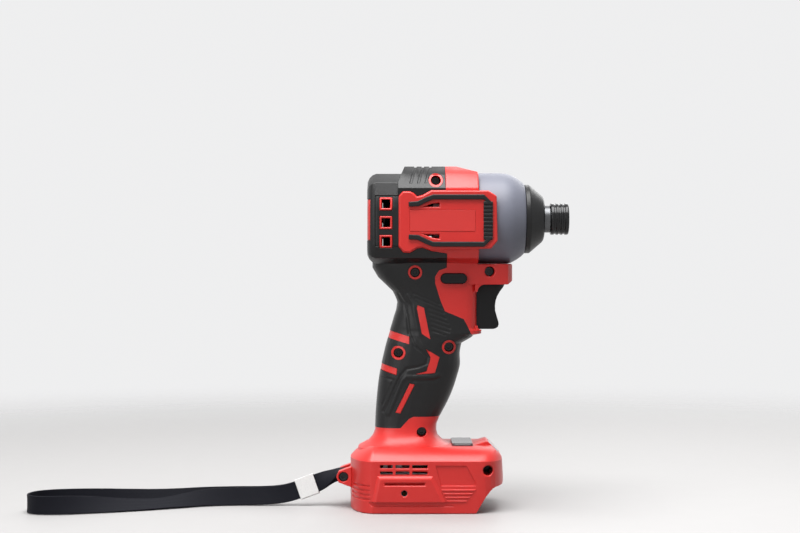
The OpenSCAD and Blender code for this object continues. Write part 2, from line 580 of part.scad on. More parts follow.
// One half of the housing, drawn on the right side
module shell(left) {
  difference() {
    union() {
      difference() {
        union() {
          difference() {
            body_form(0);
            skin_zone(1);
          }
          body_form(skin_t);
          intersection() {
            body_form(0.15);
            union() {
              field_prisms();
              collar_prisms(0);
            }
          }
          panel_form();
          block_form();
          window_corners();
          foot_form();
          pad_form();
        }
        hollow();
      }
      screw_bosses();
      seats();
    }
    openings();
    screw_holes(left);
  }
}
module skin() {
  difference() {
    intersection() {
      difference() {
        body_form(0);
        body_form(skin_t - seat);
      }
      skin_zone(0);
    }
    for (f = grip_fields) side_prism(f, -60, 1);
    collar_prisms(0.1);
    side_prism(panel_outline, -60, -10);
    difference() {
      relief_prisms();
      head_form(skin_t / 2);
      hump_form(skin_t / 2);
    }
  }
}
module trim() {
  p = concat(trim_line, [for (i = [len(trim_line) - 1:-1:0]) [trim_line[i][0], -trim_line[i][1]]]);
  difference() {
    union() {
      translate([0, 0, trim_z]) side_prism(widened(p, trim_w), -panel_y - trim_h, -panel_y - seat);
      translate([0, 0, trim_z]) side_prism([[45.6 - bar_w / 2, -11.5], [45.6 + bar_w / 2, -11.5],
        [45.6 + bar_w / 2, 11.5], [45.6 - bar_w / 2, 11.5]], -panel_y - trim_h, -panel_y - seat);
    }
    for (k = [-4:4]) translate([0, 0, trim_z]) block(40, 60, -panel_y - trim_h - 1, -panel_y - trim_h + 0.6,
      k * 2.3 - 0.45, k * 2.3 + 0.45);
  }
}
function label_outline(c) = [[-1.4 - c, trim_z - 6.4 - c], [37.9 + c, trim_z - 6.4 - c],
  [37.9 + c, trim_z + 6.4 + c], [-1.4 - c, trim_z + 6.4 + c]];
module label() {
  side_prism(label_outline(0), -panel_y - 0.2, -panel_y + 0.38);
}

module housing_right() {
  color("#c8302b") centred() shell(false);
}
module housing_left() {
  color("#c8302b") centred() mirror([0, 1, 0]) shell(true);
}
module grip_skin_right() {
  color("#2b2b2d") centred() skin();
}
module grip_skin_left() {
  color("#2b2b2d") centred() mirror([0, 1, 0]) skin();
}
module side_trim_right() {
  color("#2b2b2d") centred() trim();
}
module side_trim_left() {
  color("#2b2b2d") centred() mirror([0, 1, 0]) trim();
}
module rating_label_right() {
  color("#d03a34") centred() label();
}
module rating_label_left() {
  color("#d03a34") centred() mirror([0, 1, 0]) label();
}

// Hammer case, its cover and the nose
module hammer_case() {
  color("#a8aab0") centred() turned([[case_x0, case_in_r], [case_x0, seat_r], [head_front_x + 0.2, seat_r],
    [head_front_x + 0.2, case_r], [hammer_x1 - 2.5, case_r], [cover_front_x, bumper_r - 1.5],
    [cover_front_x, nose_r], [bumper_front_x - 1.1, nose_r], [bumper_front_x - 1.1, bush_r],
    [wall_x, bush_r],
    [wall_x, strike_r + 1], [hammer_x1 + 0.6, case_in_r]]);
}
module case_cover() {
  color("#6f7280") centred() difference() {
    turned([[head_front_x + 0.2, case_r + seat], [hammer_x1 - 2.5, case_r + seat],
      [cover_front_x, bumper_r - 1.5 + seat], [cover_front_x, bumper_r + 0.1],
      [cover_front_x - 1.9, bumper_r + 2],
      [cover_front_x - 4.9, cover_r - 3], [cover_front_x - 8.1, cover_r - 1.2],
      [cover_front_x - 11.4, cover_r - 0.3], [cover_front_x - 14.9, cover_r],
      [head_front_x + 0.2, cover_r]]);
    block(0, 80, -40, 40, axis_z - cover_r - 12, axis_z - cover_r + 0.6);
  }
}
module nose_bumper() {
  color("#242426") centred() turned([[cover_front_x + 0.05, nose_r + seat], [cover_front_x + 0.05, bumper_r],
    [cover_front_x + 3, bumper_r], [bumper_front_x - 1.2, nose_r + 0.8],
    [bumper_front_x - 0.4, nose_r - 0.4],
    [bumper_front_x, nose_r - 1.8], [bumper_front_x, anvil_r + 1.2], [bumper_front_x - 1, anvil_r + 1.2],
    [bumper_front_x - 1, nose_r + seat]]);
}
module nose_bush() {
  color("#9a7a3c") centred() turned([[wall_x + 0.1, anvil_r + run], [wall_x + 0.1, bush_r - seat],
    [bumper_front_x - 1.2, bush_r - seat], [bumper_front_x - 1.2, anvil_r + run]]);
}

// Anvil and bit retention
module anvil() {
  color("#c9cbd0") centred() difference() {
    union() {
      turned([[lug_x0, 0], [lug_x0, 10], [lug_x1, 10], [lug_x1, anvil_r], [sleeve_rear_x - 0.3, anvil_r],
        [sleeve_rear_x - 0.3, anvil_neck_r], [sleeve_front_x - 0.5, anvil_neck_r],
          [sleeve_front_x - 0.5, 0]]);
      for (k = [0, 180]) across(sector(8, strike_r, k - 20, k + 20, 8), lug_x0, lug_x1);
    }
    translate([hex_x0, 0, axis_z]) rotate([0, 90, 0]) cylinder(r = hex_af / 2 / cos(30),
      h = hex_depth + 1, $fn = 6);
    x_cyl(4.1, lug_x0 - 1, lug_x0 + 7);
    y_cyl(bit_ball_x, axis_z, bit_ball_r + run, -anvil_neck_r - 1, anvil_neck_r + 1);
    turned([[sleeve_ring_x - run, anvil_neck_r - 0.7], [sleeve_ring_x - run, anvil_neck_r + 1],
      [sleeve_ring_x + 1 + run, anvil_neck_r + 1], [sleeve_ring_x + 1 + run, anvil_neck_r - 0.7]]);
  }
}
module bit_sleeve() {
  land0 = bit_ball_x - 1.3;
  land1 = bit_ball_x + 1.3;
  pocket_r = sleeve_r - 1.5;
  color("#1d1d1f") centred() difference() {
    turned([[sleeve_rear_x, sleeve_r - 1.6], [sleeve_rear_x, sleeve_r - 0.4],
      [sleeve_rear_x + 0.4, sleeve_r],
      [sleeve_front_x - 0.5, sleeve_r], [sleeve_front_x, sleeve_r - 0.5], [sleeve_front_x, pocket_r],
      [land1, pocket_r], [land1, anvil_neck_r + run], [land0, anvil_neck_r + run],
        [land0, sleeve_r - 1.6]]);
    for (k = [0:2]) turned([[sleeve_rear_x + 2.1 + k * 2.7, sleeve_r - 0.5],
      [sleeve_rear_x + 2.1 + k * 2.7, sleeve_r + 1],
      [sleeve_rear_x + 3.4 + k * 2.7, sleeve_r + 1], [sleeve_rear_x + 3.4 + k * 2.7, sleeve_r - 0.5]]);
  }
}
module sleeve_spring() {
  color("#b5b7bb") centred() coil(bit_ball_x + 1.35, sleeve_ring_x - 0.05, anvil_neck_r + 0.85, 0.35, 3,
    axis_z, 12, 6);
}
module sleeve_ring() {
  color("#8d9096") centred() turned([[sleeve_ring_x, anvil_neck_r - 0.65], [sleeve_ring_x, sleeve_r - 1.75],
    [sleeve_ring_x + 1, sleeve_r - 1.75], [sleeve_ring_x + 1, anvil_neck_r - 0.65]]);
}
module bit_balls() {
  color("#d5d7da") centred() for (k = [-1, 1]) translate([bit_ball_x, k * (anvil_neck_r - bit_ball_r),
    axis_z]) sphere(r = bit_ball_r);
}

// Impact mechanism
module hammer() {
  color("#85888e") centred() difference() {
    union() {
      turned([[hammer_x0, spring_pocket_r], [hammer_x0, hammer_r], [hammer_x1 - 1.5, hammer_r],
        [hammer_x1, hammer_r - 1.5], [hammer_x1, spindle_r + run], [hammer_x0 + 2, spindle_r + run],
        [hammer_x0 + 2, spindle_r + 2.7], [hammer_x0 + 11.2, spindle_r + 2.7],
        [hammer_x0 + 11.2, spring_pocket_r]]);
      for (k = [0, 180]) across(sector(10.6, strike_r, k + 23, k + 63, 8), hammer_x1 - 0.5, lug_x1 - 1);
    }
    for (k = [-1, 1]) translate([ball_x, 0, axis_z + k * spindle_r]) {
      rotate([0, 90, 0]) cylinder(r = cam_ball_r + run, h = 20);
      sphere(r = cam_ball_r + run);
    }
  }
}
module hammer_spring() {
  color("#b5b7bb") centred() coil(flange_x1 + 0.05, hammer_x0 + 11.15,
    (spindle_r + 2.6 + spring_pocket_r) / 2, 1.35, 4, axis_z, 14, 6);
}
module cam_balls() {
  color("#d5d7da") centred() for (k = [-1, 1]) translate([ball_x, 0, axis_z + k * spindle_r])
    sphere(r = cam_ball_r);
}
module spindle() {
  color("#8d9096") centred() difference() {
    union() {
      turned([[carrier_x0 + 0.4, sun_tip_r + 0.8], [carrier_x0 + 0.4, hub_r - seat], [disc_x0, hub_r - seat],
        [disc_x0, disc_r], [gap_x0, disc_r], [gap_x0, sun_tip_r + 0.8]]);
      turned([[gap_x1, 0], [gap_x1, disc_r], [flange_x1, disc_r], [flange_x1, spindle_r],
        [hammer_x1, spindle_r], [hammer_x1, 4], [lug_x0 + 6.5, 4], [lug_x0 + 6.5, 0]]);
      for (k = [60, 180, 300]) across([for (i = [0:15])
        [(disc_r - 3.4) * cos(k) + 3.2 * cos(i * 24), (disc_r - 3.4) * sin(k) + 3.2 * sin(i * 24)]],
        gap_x0 - 0.5, gap_x1 + 0.5);
    }
    for (k = [0, 120, 240]) translate([disc_x0 - 1, planet_a * cos(k), axis_z + planet_a * sin(k)])
      rotate([0, 90, 0]) cylinder(r = 2, h = flange_x1 - disc_x0 + 2);
    for (k = [-1, 1]) translate([ball_x, 0, axis_z + k * spindle_r]) {
      sphere(r = cam_ball_r + seat);
      for (s = [-1, 1]) rotate([0, 0, s * 55]) rotate([0, -90, 0]) cylinder(r = cam_ball_r + seat, h = 7);
    }
  }
}
module planet_pins() {
  color("#c9cbd0") centred() for (k = [0, 120, 240]) translate([disc_x0 + 0.2, planet_a * cos(k),
    axis_z + planet_a * sin(k)])
    rotate([0, 90, 0]) cylinder(r = 2 - seat, h = flange_x1 - disc_x0 - 0.4);
}
module planet(k) {
  color("#9a9da3") centred() translate([0, planet_a * cos(k), planet_a * sin(k)]) difference() {
    across([for (p = gear_outline(planet_teeth, gear_m, gear_m * (planet_teeth / 2 + 0.9),
      gear_m * (planet_teeth / 2 - 1.2), 0.05))
      let (a = k + 180 / planet_teeth) [p[0] * cos(a) - p[1] * sin(a), p[0] * sin(a) + p[1] * cos(a)]],
      gap_x0 + 0.3, gap_x1 - 0.3);
    x_cyl(2 + run, gap_x0, gap_x1);
  }
}
module planet_gear_1() {
  planet(0);
}
module planet_gear_2() {
  planet(120);
}
module planet_gear_3() {
  planet(240);
}
module ring_gear() {
  color("#8d9096") centred() difference() {
    x_cyl(case_in_r - run, gap_x0 - 0.7, gap_x1 + 0.5);
    across([for (p = gear_outline(ring_teeth, gear_m, gear_m * (ring_teeth / 2 + 1.2),
      gear_m * (ring_teeth / 2 - 0.85), -0.05))
      let (a = 180 / ring_teeth) [p[0] * cos(a) - p[1] * sin(a), p[0] * sin(a) + p[1] * cos(a)]],
      gap_x0 - 2, gap_x1 + 2);
  }
}
module sun_pinion() {
  color("#c9cbd0") centred() difference() {
    across(gear_outline(sun_teeth, gear_m, gear_m * (sun_teeth / 2 + 0.9),
      gear_m * (sun_teeth / 2 - 1.15), 0.05),
      gap_x0 - 0.4, gap_x1 - 0.6);
    x_cyl(shaft_r, gap_x0 - 2, gap_x1 + 2);
  }
}
module gear_plate() {
  color("#6a6d74") centred() difference() {
    turned([[plate_x0, bearing_r + seat], [plate_x0, seat_r], [plate_x1, seat_r],
      [plate_x1, case_in_r - run], [gap_x0 - 0.9, case_in_r - run], [gap_x0 - 0.9, disc_r + 0.5],
      [carrier_x0 + 4, disc_r + 0.5],
      [carrier_x0 + 4, carrier_r + seat], [carrier_x0 - 0.02, carrier_r + seat],
      [carrier_x0 - 0.02, bearing_r - 1.5], [plate_x0 + 5.4, bearing_r - 1.5],
      [plate_x0 + 5.4, bearing_r + seat]]);
    y_cyl(screws[0][0], screws[0][1], screws[0][4] + free, -30, 30);
  }
}
module carrier_bearing() {
  color("#b5b7bb") centred() turned([[carrier_x0, hub_r], [carrier_x0, carrier_r],
    [carrier_x0 + 3.9, carrier_r], [carrier_x0 + 3.9, hub_r]]);
}

// Motor
module rotor_shaft() {
  color("#c9cbd0") centred() turned([[rear_in_x + 0.2, 0], [rear_in_x + 0.2, shaft_r - seat],
    [fan_x0 - 0.1, shaft_r - seat],
    [fan_x0 - 0.1, 3.5], [plate_x0, 3.5], [plate_x0, shaft_r - seat], [gap_x1 - 0.5, shaft_r - seat],
      [gap_x1 - 0.5, 0]]);
}
module rotor_core() {
  color("#5b5d62") centred() difference() {
    turned([[stack_x0, 3.5 + seat], [stack_x0, rotor_r], [stack_x1, rotor_r], [stack_x1, 3.5 + seat]]);
    for (k = [0:3]) translate([0, 0, axis_z]) rotate([90 * k, 0, 0])
      block(stack_x0 - 1, stack_x1 + 1, -5, 5, 6.5, 8.5);
  }
}
module rotor_magnets() {
  color("#94979c") centred() for (k = [0:3]) translate([0, 0, axis_z]) rotate([90 * k, 0, 0])
    block(stack_x0 + 0.3, stack_x1 - 0.3, -5 + seat, 5 - seat, 6.5 + seat, 8.5 - seat);
}
module cooling_fan() {
  color("#34363a") centred() union() {
    turned([[fan_x0, 3.5 + seat], [fan_x0, fan_r], [fan_x0 + 1.2, fan_r], [fan_x0 + 1.2, 6.5],
      [fan_x0 + 4.4, 6], [fan_x0 + 4.4, 3.5 + seat]]);
    for (k = [0:fan_blades - 1]) translate([0, 0, axis_z]) rotate([360 / fan_blades * k, 0, 0])
      translate([0, 1.5, 0]) rotate([-14, 0, 0]) block(fan_x0 + 0.6, fan_x0 + 4.6, -0.5, 0.5, 7,
        fan_r - 0.6);
  }
}
module stator_core() {
  color("#5b5d62") centred() union() {
    turned([[stack_x0, stator_in_r], [stack_x0, seat_r], [stack_x1, seat_r], [stack_x1, stator_in_r]]);
    for (k = [0:5]) translate([0, 0, axis_z]) rotate([60 * k, 0, 0]) {
      block(stack_x0, stack_x1, -2.5, 2.5, rotor_r + 1.4, stator_in_r + 0.4);
      cross_prism(sector(rotor_r + 0.5, rotor_r + 2, 66, 114, 8), stack_x0, stack_x1);
    }
  }
}
module stator_coils() {
  color("#b06a3a") centred() for (k = [0:5]) translate([0, 0, axis_z]) rotate([60 * k, 0, 0]) difference() {
    block(stack_x0 - coil_over, stack_x1 + coil_over, -4.8, 4.8, rotor_r + 2.2, stator_in_r - 0.6);
    block(stack_x0 - seat, stack_x1 + seat, -2.5 - seat, 2.5 + seat, rotor_r + 1, stator_in_r + 1);
    for (a = [stack_x0 - coil_over, stack_x1 + coil_over], b = [-4.8, 4.8])
      translate([a, b, rotor_r + 1]) rotate([0, 0, 45]) block(-1.2, 1.2, -1.2, 1.2, 0, 12);
  }
}
module sensor_board() {
  color("#2f6b45") centred() difference() {
    union() {
      x_cyl(seat_r, board_x0, board_x0 + 1.4);
      block(board_x0, board_x0 + 1.4, -7, 7, axis_z - 27, axis_z - 20);
    }
    x_cyl(6, board_x0 - 1, board_x0 + 3);
  }
}
module rotor_bearing(x) {
  color("#b5b7bb") centred() turned([[x, shaft_r], [x, bearing_r], [x + 5, bearing_r], [x + 5, shaft_r]]);
}
module front_bearing() {
  rotor_bearing(plate_x0 + 0.38);
}
module rear_bearing() {
  rotor_bearing(rear_in_x + seat);
}

// Trigger and switch
trigger_z0 = 109.8;
trigger_z1 = axis_z - 40;
trigger_back = switch_front_x - 7;
// Finger face of the trigger from its top down: X from the switch housing, Z from the trigger's foot
trigger_face = [[17.3, 27.7], [16.5, 26.1], [14, 23], [12.3, 20.2], [11.3, 17.4], [10.9, 14.2], [11, 11.2],
  [11.6, 9.1], [12.4, 6.4], [13, 4.5], [13.2, 2.9], [12.7, 1.3], [11.4, 0.4], [9.8, 0]];
module trigger() {
  zc = (trigger_z0 + trigger_z1) / 2 - 0.4;
  tip = switch_front_x + 17.4;
  z2 = trigger_z1 - 1.5;
  color("#232325") centred() union() {
    difference() {
      intersection() {
        side_prism(concat([[trigger_back, trigger_z0], [trigger_back, z2], [switch_front_x + 1.2, z2],
          [switch_front_x + 1.2, trigger_z1]],
          [for (p = trigger_face) [switch_front_x + p[0], min(trigger_z1, trigger_z0 + p[1])]]),
          -trigger_hw, trigger_hw);
        plan_prism([[trigger_back, -trigger_hw], [tip - 9, -trigger_hw], [tip - 4.5, -trigger_hw + 1.2],
          [tip - 1.8, -trigger_hw + 3.4], [tip, -trigger_hw + 7], [tip, trigger_hw - 7],
          [tip - 1.8, trigger_hw - 3.4], [tip - 4.5, trigger_hw - 1.2], [tip - 9, trigger_hw],
          [trigger_back, trigger_hw]], 90, axis_z);
      }
      block(trigger_back - 1, trigger_back + 5, -trigger_hw + 2, trigger_hw - 2, trigger_z0 + 2, z2 - 2);
    }
    translate([trigger_back - 15, 0, zc]) rotate([0, 90, 0]) cylinder(r = 3, h = 21);
  }
}
module trigger_spring() {
  color("#b5b7bb") centred() coil(switch_front_x - 15 + 0.05, trigger_back + 4.95, 4.6, 0.5, 5,
    (trigger_z0 + trigger_z1) / 2 - 0.4, 10, 5);
}
module switch_body() {
  zc = (trigger_z0 + trigger_z1) / 2 - 0.4;
  color("#3a3c40") centred() difference() {
    union() {
      block(1, switch_front_x - 15, -switch_hw, switch_hw, 108.6, axis_z - 41.5);
      block(4, 12, -8, 8, 104.5, 109);
    }
    translate([1 + 6, 0, zc]) rotate([0, 90, 0]) cylinder(r = 3 + run, h = 40);
    block(0, 4, -switch_hw - 1, -6, 108, 118);
  }
}
lever_x = 25.4;
lever_z = axis_z - 36.7;
module lever_bar(l, h, y0, y1) {
  translate([lever_x, y1, lever_z]) rotate([90, 0, 0]) linear_extrude(height = y1 - y0) {
    translate([-l / 2 + h / 2, -h / 2]) square([l - h, h]);
    translate([-l / 2 + h / 2, 0]) circle(r = h / 2);
    translate([l / 2 - h / 2, 0]) circle(r = h / 2);
  }
}
module direction_lever() {
  y1 = grip_hw + 1.8;
  color("#232325") centred() union() {
    lever_bar(lever_len, lever_h, -y1, -7);
    lever_bar(lever_len, lever_h, 7, y1);
    lever_bar(lever_len + 1.2, lever_h + 1.4, -8.6, 8.6);
  }
}

// Electronics in the foot
module control_tray() {
  color("#8d9096") centred() difference() {
    block(-22, 34, -26, 26, bay_h + 2 + seat, bay_h + 8.5);
    block(-20.5, 32.5, -24.5, 24.5, bay_h + 4, bay_h + 9);
  }
}
module control_board() {
  color("#2f6b45") centred() union() {
    block(-20.4, 32.4, -24.4, 24.4, bay_h + 4 + seat, bay_h + 5.6);
    translate([22, -12, bay_h + 5.5]) cylinder(r = 4.5, h = 6);
    block(-18, -6, -20, 20, bay_h + 5.5, bay_h + 8);
    block(0, 12, 6, 22, bay_h + 5.5, bay_h + 9);
  }
}
module terminal_block() {
  color("#2a2b2e") centred() difference() {
    union() {
      block(-22, 10, -17, 17, bay_h - 4.5, bay_h - seat);
      block(-22, -6, -15, 15, bay_h - 8.5, bay_h - 4);
    }
    for (y = [-11, 11]) block(-6, 12, y - 0.4, y + 0.4, bay_h - 9, bay_h - 2);
    block(-5, 12, -3.2, 3.2, bay_h - 9, bay_h - 2.5);
  }
}
module terminal_blades() {
  color("#b98b4a") centred() for (y = [-11, 11]) difference() {
    block(-6 + seat, 8, y - 0.4 + seat, y + 0.4 - seat, bay_h - 8.2, bay_h - 2 - seat);
    block(5, 9, y - 2, y + 2, bay_h - 9, bay_h - 7);
  }
}
module panel_plate(c, up) {
  plan_prism([[24.5 - c, -16 - c], [26 - c, -17.5 - c], [35.5 + c, -17.5 - c], [37 + c, -16 - c],
    [37 + c, 16 + c], [35.5 + c, 17.5 + c],
    [26 - c, 17.5 + c], [24.5 - c, 16 + c]], deck_z - 1.5 - c, deck_z + 1.6 + up);
}
module mode_panel() {
  color("#9a9ba3") centred() intersection() {
    panel_plate(0, 0);
    cross_prism([[-18, 30], [-18, deck_z + 0.7], [-16.6, deck_z + 1.6], [16.6, deck_z + 1.6],
      [18, deck_z + 0.7], [18, 30]], 20, 40);
  }
}
// Layer of the lamp along the sloping face, from depth a to b
module lamp_prism(a, b, hw, c) {
  u = unit([54.4 - 46.4, 32.7 - deck_z - 2.3]);
  n = [-u[1], u[0]];
  p = [46.4, deck_z + 2.3];
  side_prism([p + u * (1.6 - c) + n * a, p + u * (9.6 + c) + n * a, p + u * (9.6 + c) + n * b,
    p + u * (1.6 - c) + n * b], -hw, hw);
}
module lamp_lens() {
  color("#d8dade") centred() lamp_prism(-2, 0.3, 9, 0);
}
module lamp_board() {
  color("#2f6b45") centred() lamp_prism(-3.4 + seat, -2 - seat, 8.6, -0.2);
}
module hook_inserts() {
  color("#b98b4a") centred() for (k = [-1, 1]) difference() {
    y_cyl(-4.8, 12.4, 3.2 - seat, k < 0 ? -foot_hw - 0.4 + seat : foot_hw - foot_wall,
      k < 0 ? -foot_hw + foot_wall : foot_hw + 0.4 - seat);
    y_cyl(-4.8, 12.4, hook_r, -foot_hw - 2, foot_hw + 2);
  }
}
module wire_loom() {
  p = lead_route;
  color("#a03030") centred() for (y = [-4, 0, 4]) loft([for (i = [0:len(p) - 1])
    let (t = unit(p[min(i + 1, len(p) - 1)] - p[max(i - 1, 0)]))
    [for (j = [0:5]) let (b = 60 * j) [p[i][0] + 1.1 * cos(b) * t[1],
      y + 1.1 * sin(b), p[i][1] - 1.1 * cos(b) * t[0]]]]);
}
module housing_screws() {
  color("#6f7278") centred() for (s = screws) difference() {
    union() {
      y_cyl(s[0], s[1], screw_head_r, -s[3] - 2.3, -s[3] - seat);
      y_cyl(s[0], s[1], screw_r, -s[3] - 1, 9.6);
    }
    y_cyl(s[0], s[1], 1.1, -s[3] - 4, -s[3] - 1.2);
  }
}

// Wrist strap and the band sewn round it
module wrist_strap() {
  p = strap_route;
  n = len(p) - 1;
  color("#24262e") centred() loft([for (i = [0:n]) let (
    c = [p[i][0], p[i][1], p[i][2]], a = p[max(i - 1, 0)], b = p[min(i + 1, n)],
    t = unit([b[0] - a[0], b[1] - a[1], b[2] - a[2]]), w0 = [0, sin(p[i][3]), cos(p[i][3])],
    w = unit(w0 - t * (w0 * t)) * strap_w / 2, h = unit(cross(w, t)) * strap_t / 2)
    [c + w + h, c + w - h, c - w - h, c - w + h]]);
}
module strap_keeper() {
  color("#f2f2f0") centred() translate([-65, 0, 11.8]) rotate([0, -20.14, 0]) rotate([-10, 0, 0])
    difference() {
    translate([-6, -2.2, -strap_w / 2 - 0.9]) cube([12, 4.4, strap_w + 1.8]);
    translate([-7, -1.45, -strap_w / 2 - 0.2]) cube([14, 2.9, strap_w + 0.4]);
  }
}

housing_left();
housing_right();
grip_skin_left();
grip_skin_right();
side_trim_left();
side_trim_right();
rating_label_left();
rating_label_right();
hammer_case();
case_cover();
nose_bumper();
nose_bush();
anvil();
bit_sleeve();
sleeve_spring();
sleeve_ring();
bit_balls();
hammer();
hammer_spring();
cam_balls();
spindle();
planet_pins();
planet_gear_1();
planet_gear_2();
planet_gear_3();
ring_gear();
sun_pinion();
gear_plate();
carrier_bearing();
rotor_shaft();
rotor_core();
rotor_magnets();
cooling_fan();
stator_core();
stator_coils();
sensor_board();
front_bearing();
rear_bearing();
trigger();
trigger_spring();
switch_body();
direction_lever();
control_tray();
control_board();
terminal_block();
terminal_blades();
mode_panel();
lamp_lens();
lamp_board();
hook_inserts();
wire_loom();
housing_screws();
wrist_strap();
strap_keeper();
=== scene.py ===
"""A cordless impact driver without its battery: soft-grip shell, hammer case, hex chuck and wrist strap."""

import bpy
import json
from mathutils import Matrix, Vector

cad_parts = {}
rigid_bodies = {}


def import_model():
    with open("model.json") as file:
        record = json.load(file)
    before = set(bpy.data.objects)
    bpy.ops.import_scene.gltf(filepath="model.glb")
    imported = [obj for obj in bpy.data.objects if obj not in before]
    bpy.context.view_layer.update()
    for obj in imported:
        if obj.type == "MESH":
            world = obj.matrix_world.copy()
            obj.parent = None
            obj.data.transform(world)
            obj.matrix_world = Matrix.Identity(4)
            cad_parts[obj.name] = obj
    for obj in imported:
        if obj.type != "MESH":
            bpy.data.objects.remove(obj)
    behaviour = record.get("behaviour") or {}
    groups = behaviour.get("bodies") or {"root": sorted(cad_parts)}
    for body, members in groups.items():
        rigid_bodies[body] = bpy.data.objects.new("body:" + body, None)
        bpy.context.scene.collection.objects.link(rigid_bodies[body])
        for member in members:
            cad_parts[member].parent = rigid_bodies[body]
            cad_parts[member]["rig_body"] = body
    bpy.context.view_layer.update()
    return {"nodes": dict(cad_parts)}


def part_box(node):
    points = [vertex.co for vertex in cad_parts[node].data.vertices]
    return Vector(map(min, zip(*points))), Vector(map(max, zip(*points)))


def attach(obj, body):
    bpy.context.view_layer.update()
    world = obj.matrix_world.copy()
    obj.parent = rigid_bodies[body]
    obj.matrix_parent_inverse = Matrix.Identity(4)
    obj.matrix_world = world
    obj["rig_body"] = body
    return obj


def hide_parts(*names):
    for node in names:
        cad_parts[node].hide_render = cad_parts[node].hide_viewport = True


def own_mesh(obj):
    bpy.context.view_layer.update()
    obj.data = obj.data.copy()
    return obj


bl_info = {
    "name": "Cordless Impact Driver",
    "version": (1, 0, 0),
    "blender": (4, 5, 0),
    "location": "View3D > Sidebar > Driver",
    "description": "Finishes the pieces of a cordless impact driver over its measured frame",
    "category": "Object",
}

import json
import math

import bmesh
import bpy
import numpy as np
from bpy.props import FloatProperty, FloatVectorProperty, PointerProperty
from mathutils import Matrix, Vector

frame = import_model()

# Stations along the drive axis come from the frame: the middle of the drawing's foot is this far behind X = 0.
FOOT_MIDDLE = 0.0251
AXIS_Z = sum(corner.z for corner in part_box("bit_sleeve")) / 2

# The grip's middle line: where it leaves the foot, how far it leans forward for each metre up, and where it ends.
GRIP_FOOT_X = -0.0025 - FOOT_MIDDLE
GRIP_FOOT_Z = 0.06
GRIP_LEAN = 0.207
GRIP_TOP_Z = 0.135

# The strap's route: X, Y and Z in metres and the turn of its width from upright in degrees.
STRAP_ROUTE = (
    (-0.0641, 0, 0.0202, 90), (-0.0651, 0, 0.0217, 90), (-0.0671, 0, 0.0224, 90), (-0.0706, 0, 0.0216, 80),
    (-0.0771, -0.0009, 0.0178, 45), (-0.0841, -0.0008, 0.014, 10), (-0.0901, -0.0008, 0.0118, 10),
    (-0.0961, -0.0008, 0.0096, 10), (-0.1051, -0.0006, 0.0072, 12), (-0.1171, -0.0002, 0.006, 18),
    (-0.1351, 0, 0.0056, 20), (-0.1531, -0.003, 0.0052, 32), (-0.1701, -0.01, 0.0038, 58),
    (-0.1831, -0.016, 0.0032, 65), (-0.2001, -0.024, 0.0039, 55), (-0.2201, -0.033, 0.0053, 30),
    (-0.2371, -0.039, 0.0058, 10), (-0.2481, -0.039, 0.0058, 0), (-0.2551, -0.033, 0.0058, 0),
    (-0.2566, -0.024, 0.0058, 0), (-0.2521, -0.014, 0.0058, 0), (-0.2401, -0.008, 0.0058, 4),
    (-0.2211, -0.0055, 0.0058, 10), (-0.2011, -0.005, 0.0056, 18), (-0.1851, -0.0035, 0.0054, 25),
    (-0.1701, 0, 0.0054, 28), (-0.1531, 0.0042, 0.0056, 24), (-0.1351, 0.006, 0.0057, 20),
    (-0.1171, 0.0046, 0.006, 18), (-0.1051, 0.0022, 0.0072, 12), (-0.0961, 0.0008, 0.0096, 10),
    (-0.0901, 0.0008, 0.0118, 10), (-0.0841, 0.0008, 0.014, 10), (-0.0771, 0.0009, 0.0164, 45),
    (-0.0706, 0, 0.017, 80), (-0.0671, 0, 0.0162, 90), (-0.0651, 0, 0.0169, 90), (-0.0641, 0, 0.0184, 90),
)

# Lines moulded into the side of the grip, as half width, height and corners in X from the foot's middle and Z,
# all in millimetres. A height below zero is a groove.
GRIP_LINES = (
    (1.5, -0.65, ((-8.4, 131), (-4.8, 125.3), (-3.2, 117.9), (-1.8, 107.3), (1.5, 99.7), (6.5, 95.6), (9.3, 92.7),
                 (8.7, 88.9), (3.5, 86.9), (-3.4, 85.6), (-6.8, 81.6), (-10.1, 75), (-13.7, 66.9), (-17.5, 59.3))),
    (1.9, 0.45, ((-3.1, 130.3), (0.5, 125.3), (2.3, 115.4), (4.3, 105.8), (7, 100.7), (9.7, 97.2))),
    (2.1, 0.6, ((16.6, 82.3), (12.6, 80.8), (-3.6, 80.8), (-6, 78.8), (-9.8, 69.7), (-14.5, 58.3))),
    (1.4, -0.35, ((16.6, 79.5), (12.6, 78.4), (0.5, 78.2))),
    (1.2, -0.45, ((-18.5, 80.5), (-11.5, 78.8), (-18.5, 63.1), (-20.2, 63.7))),
    (1.0, -0.3, ((1, 131.6), (16.6, 125))),
    (1.0, -0.3, ((2.2, 128.8), (17.9, 122.5))),
    (1.0, -0.3, ((10, 122.8), (19.2, 119.6))),
    (1.0, -0.3, ((10.5, 120), (20.6, 116.4))),
    (1.0, -0.3, ((11, 117.2), (21.9, 113.4))),
    (1.0, -0.3, ((11.5, 114.4), (23.2, 110.4))),
    (1.0, -0.3, ((12, 111.6), (22.5, 108))),
    (1.0, -0.3, ((12.5, 108.8), (20, 106.2))),
)


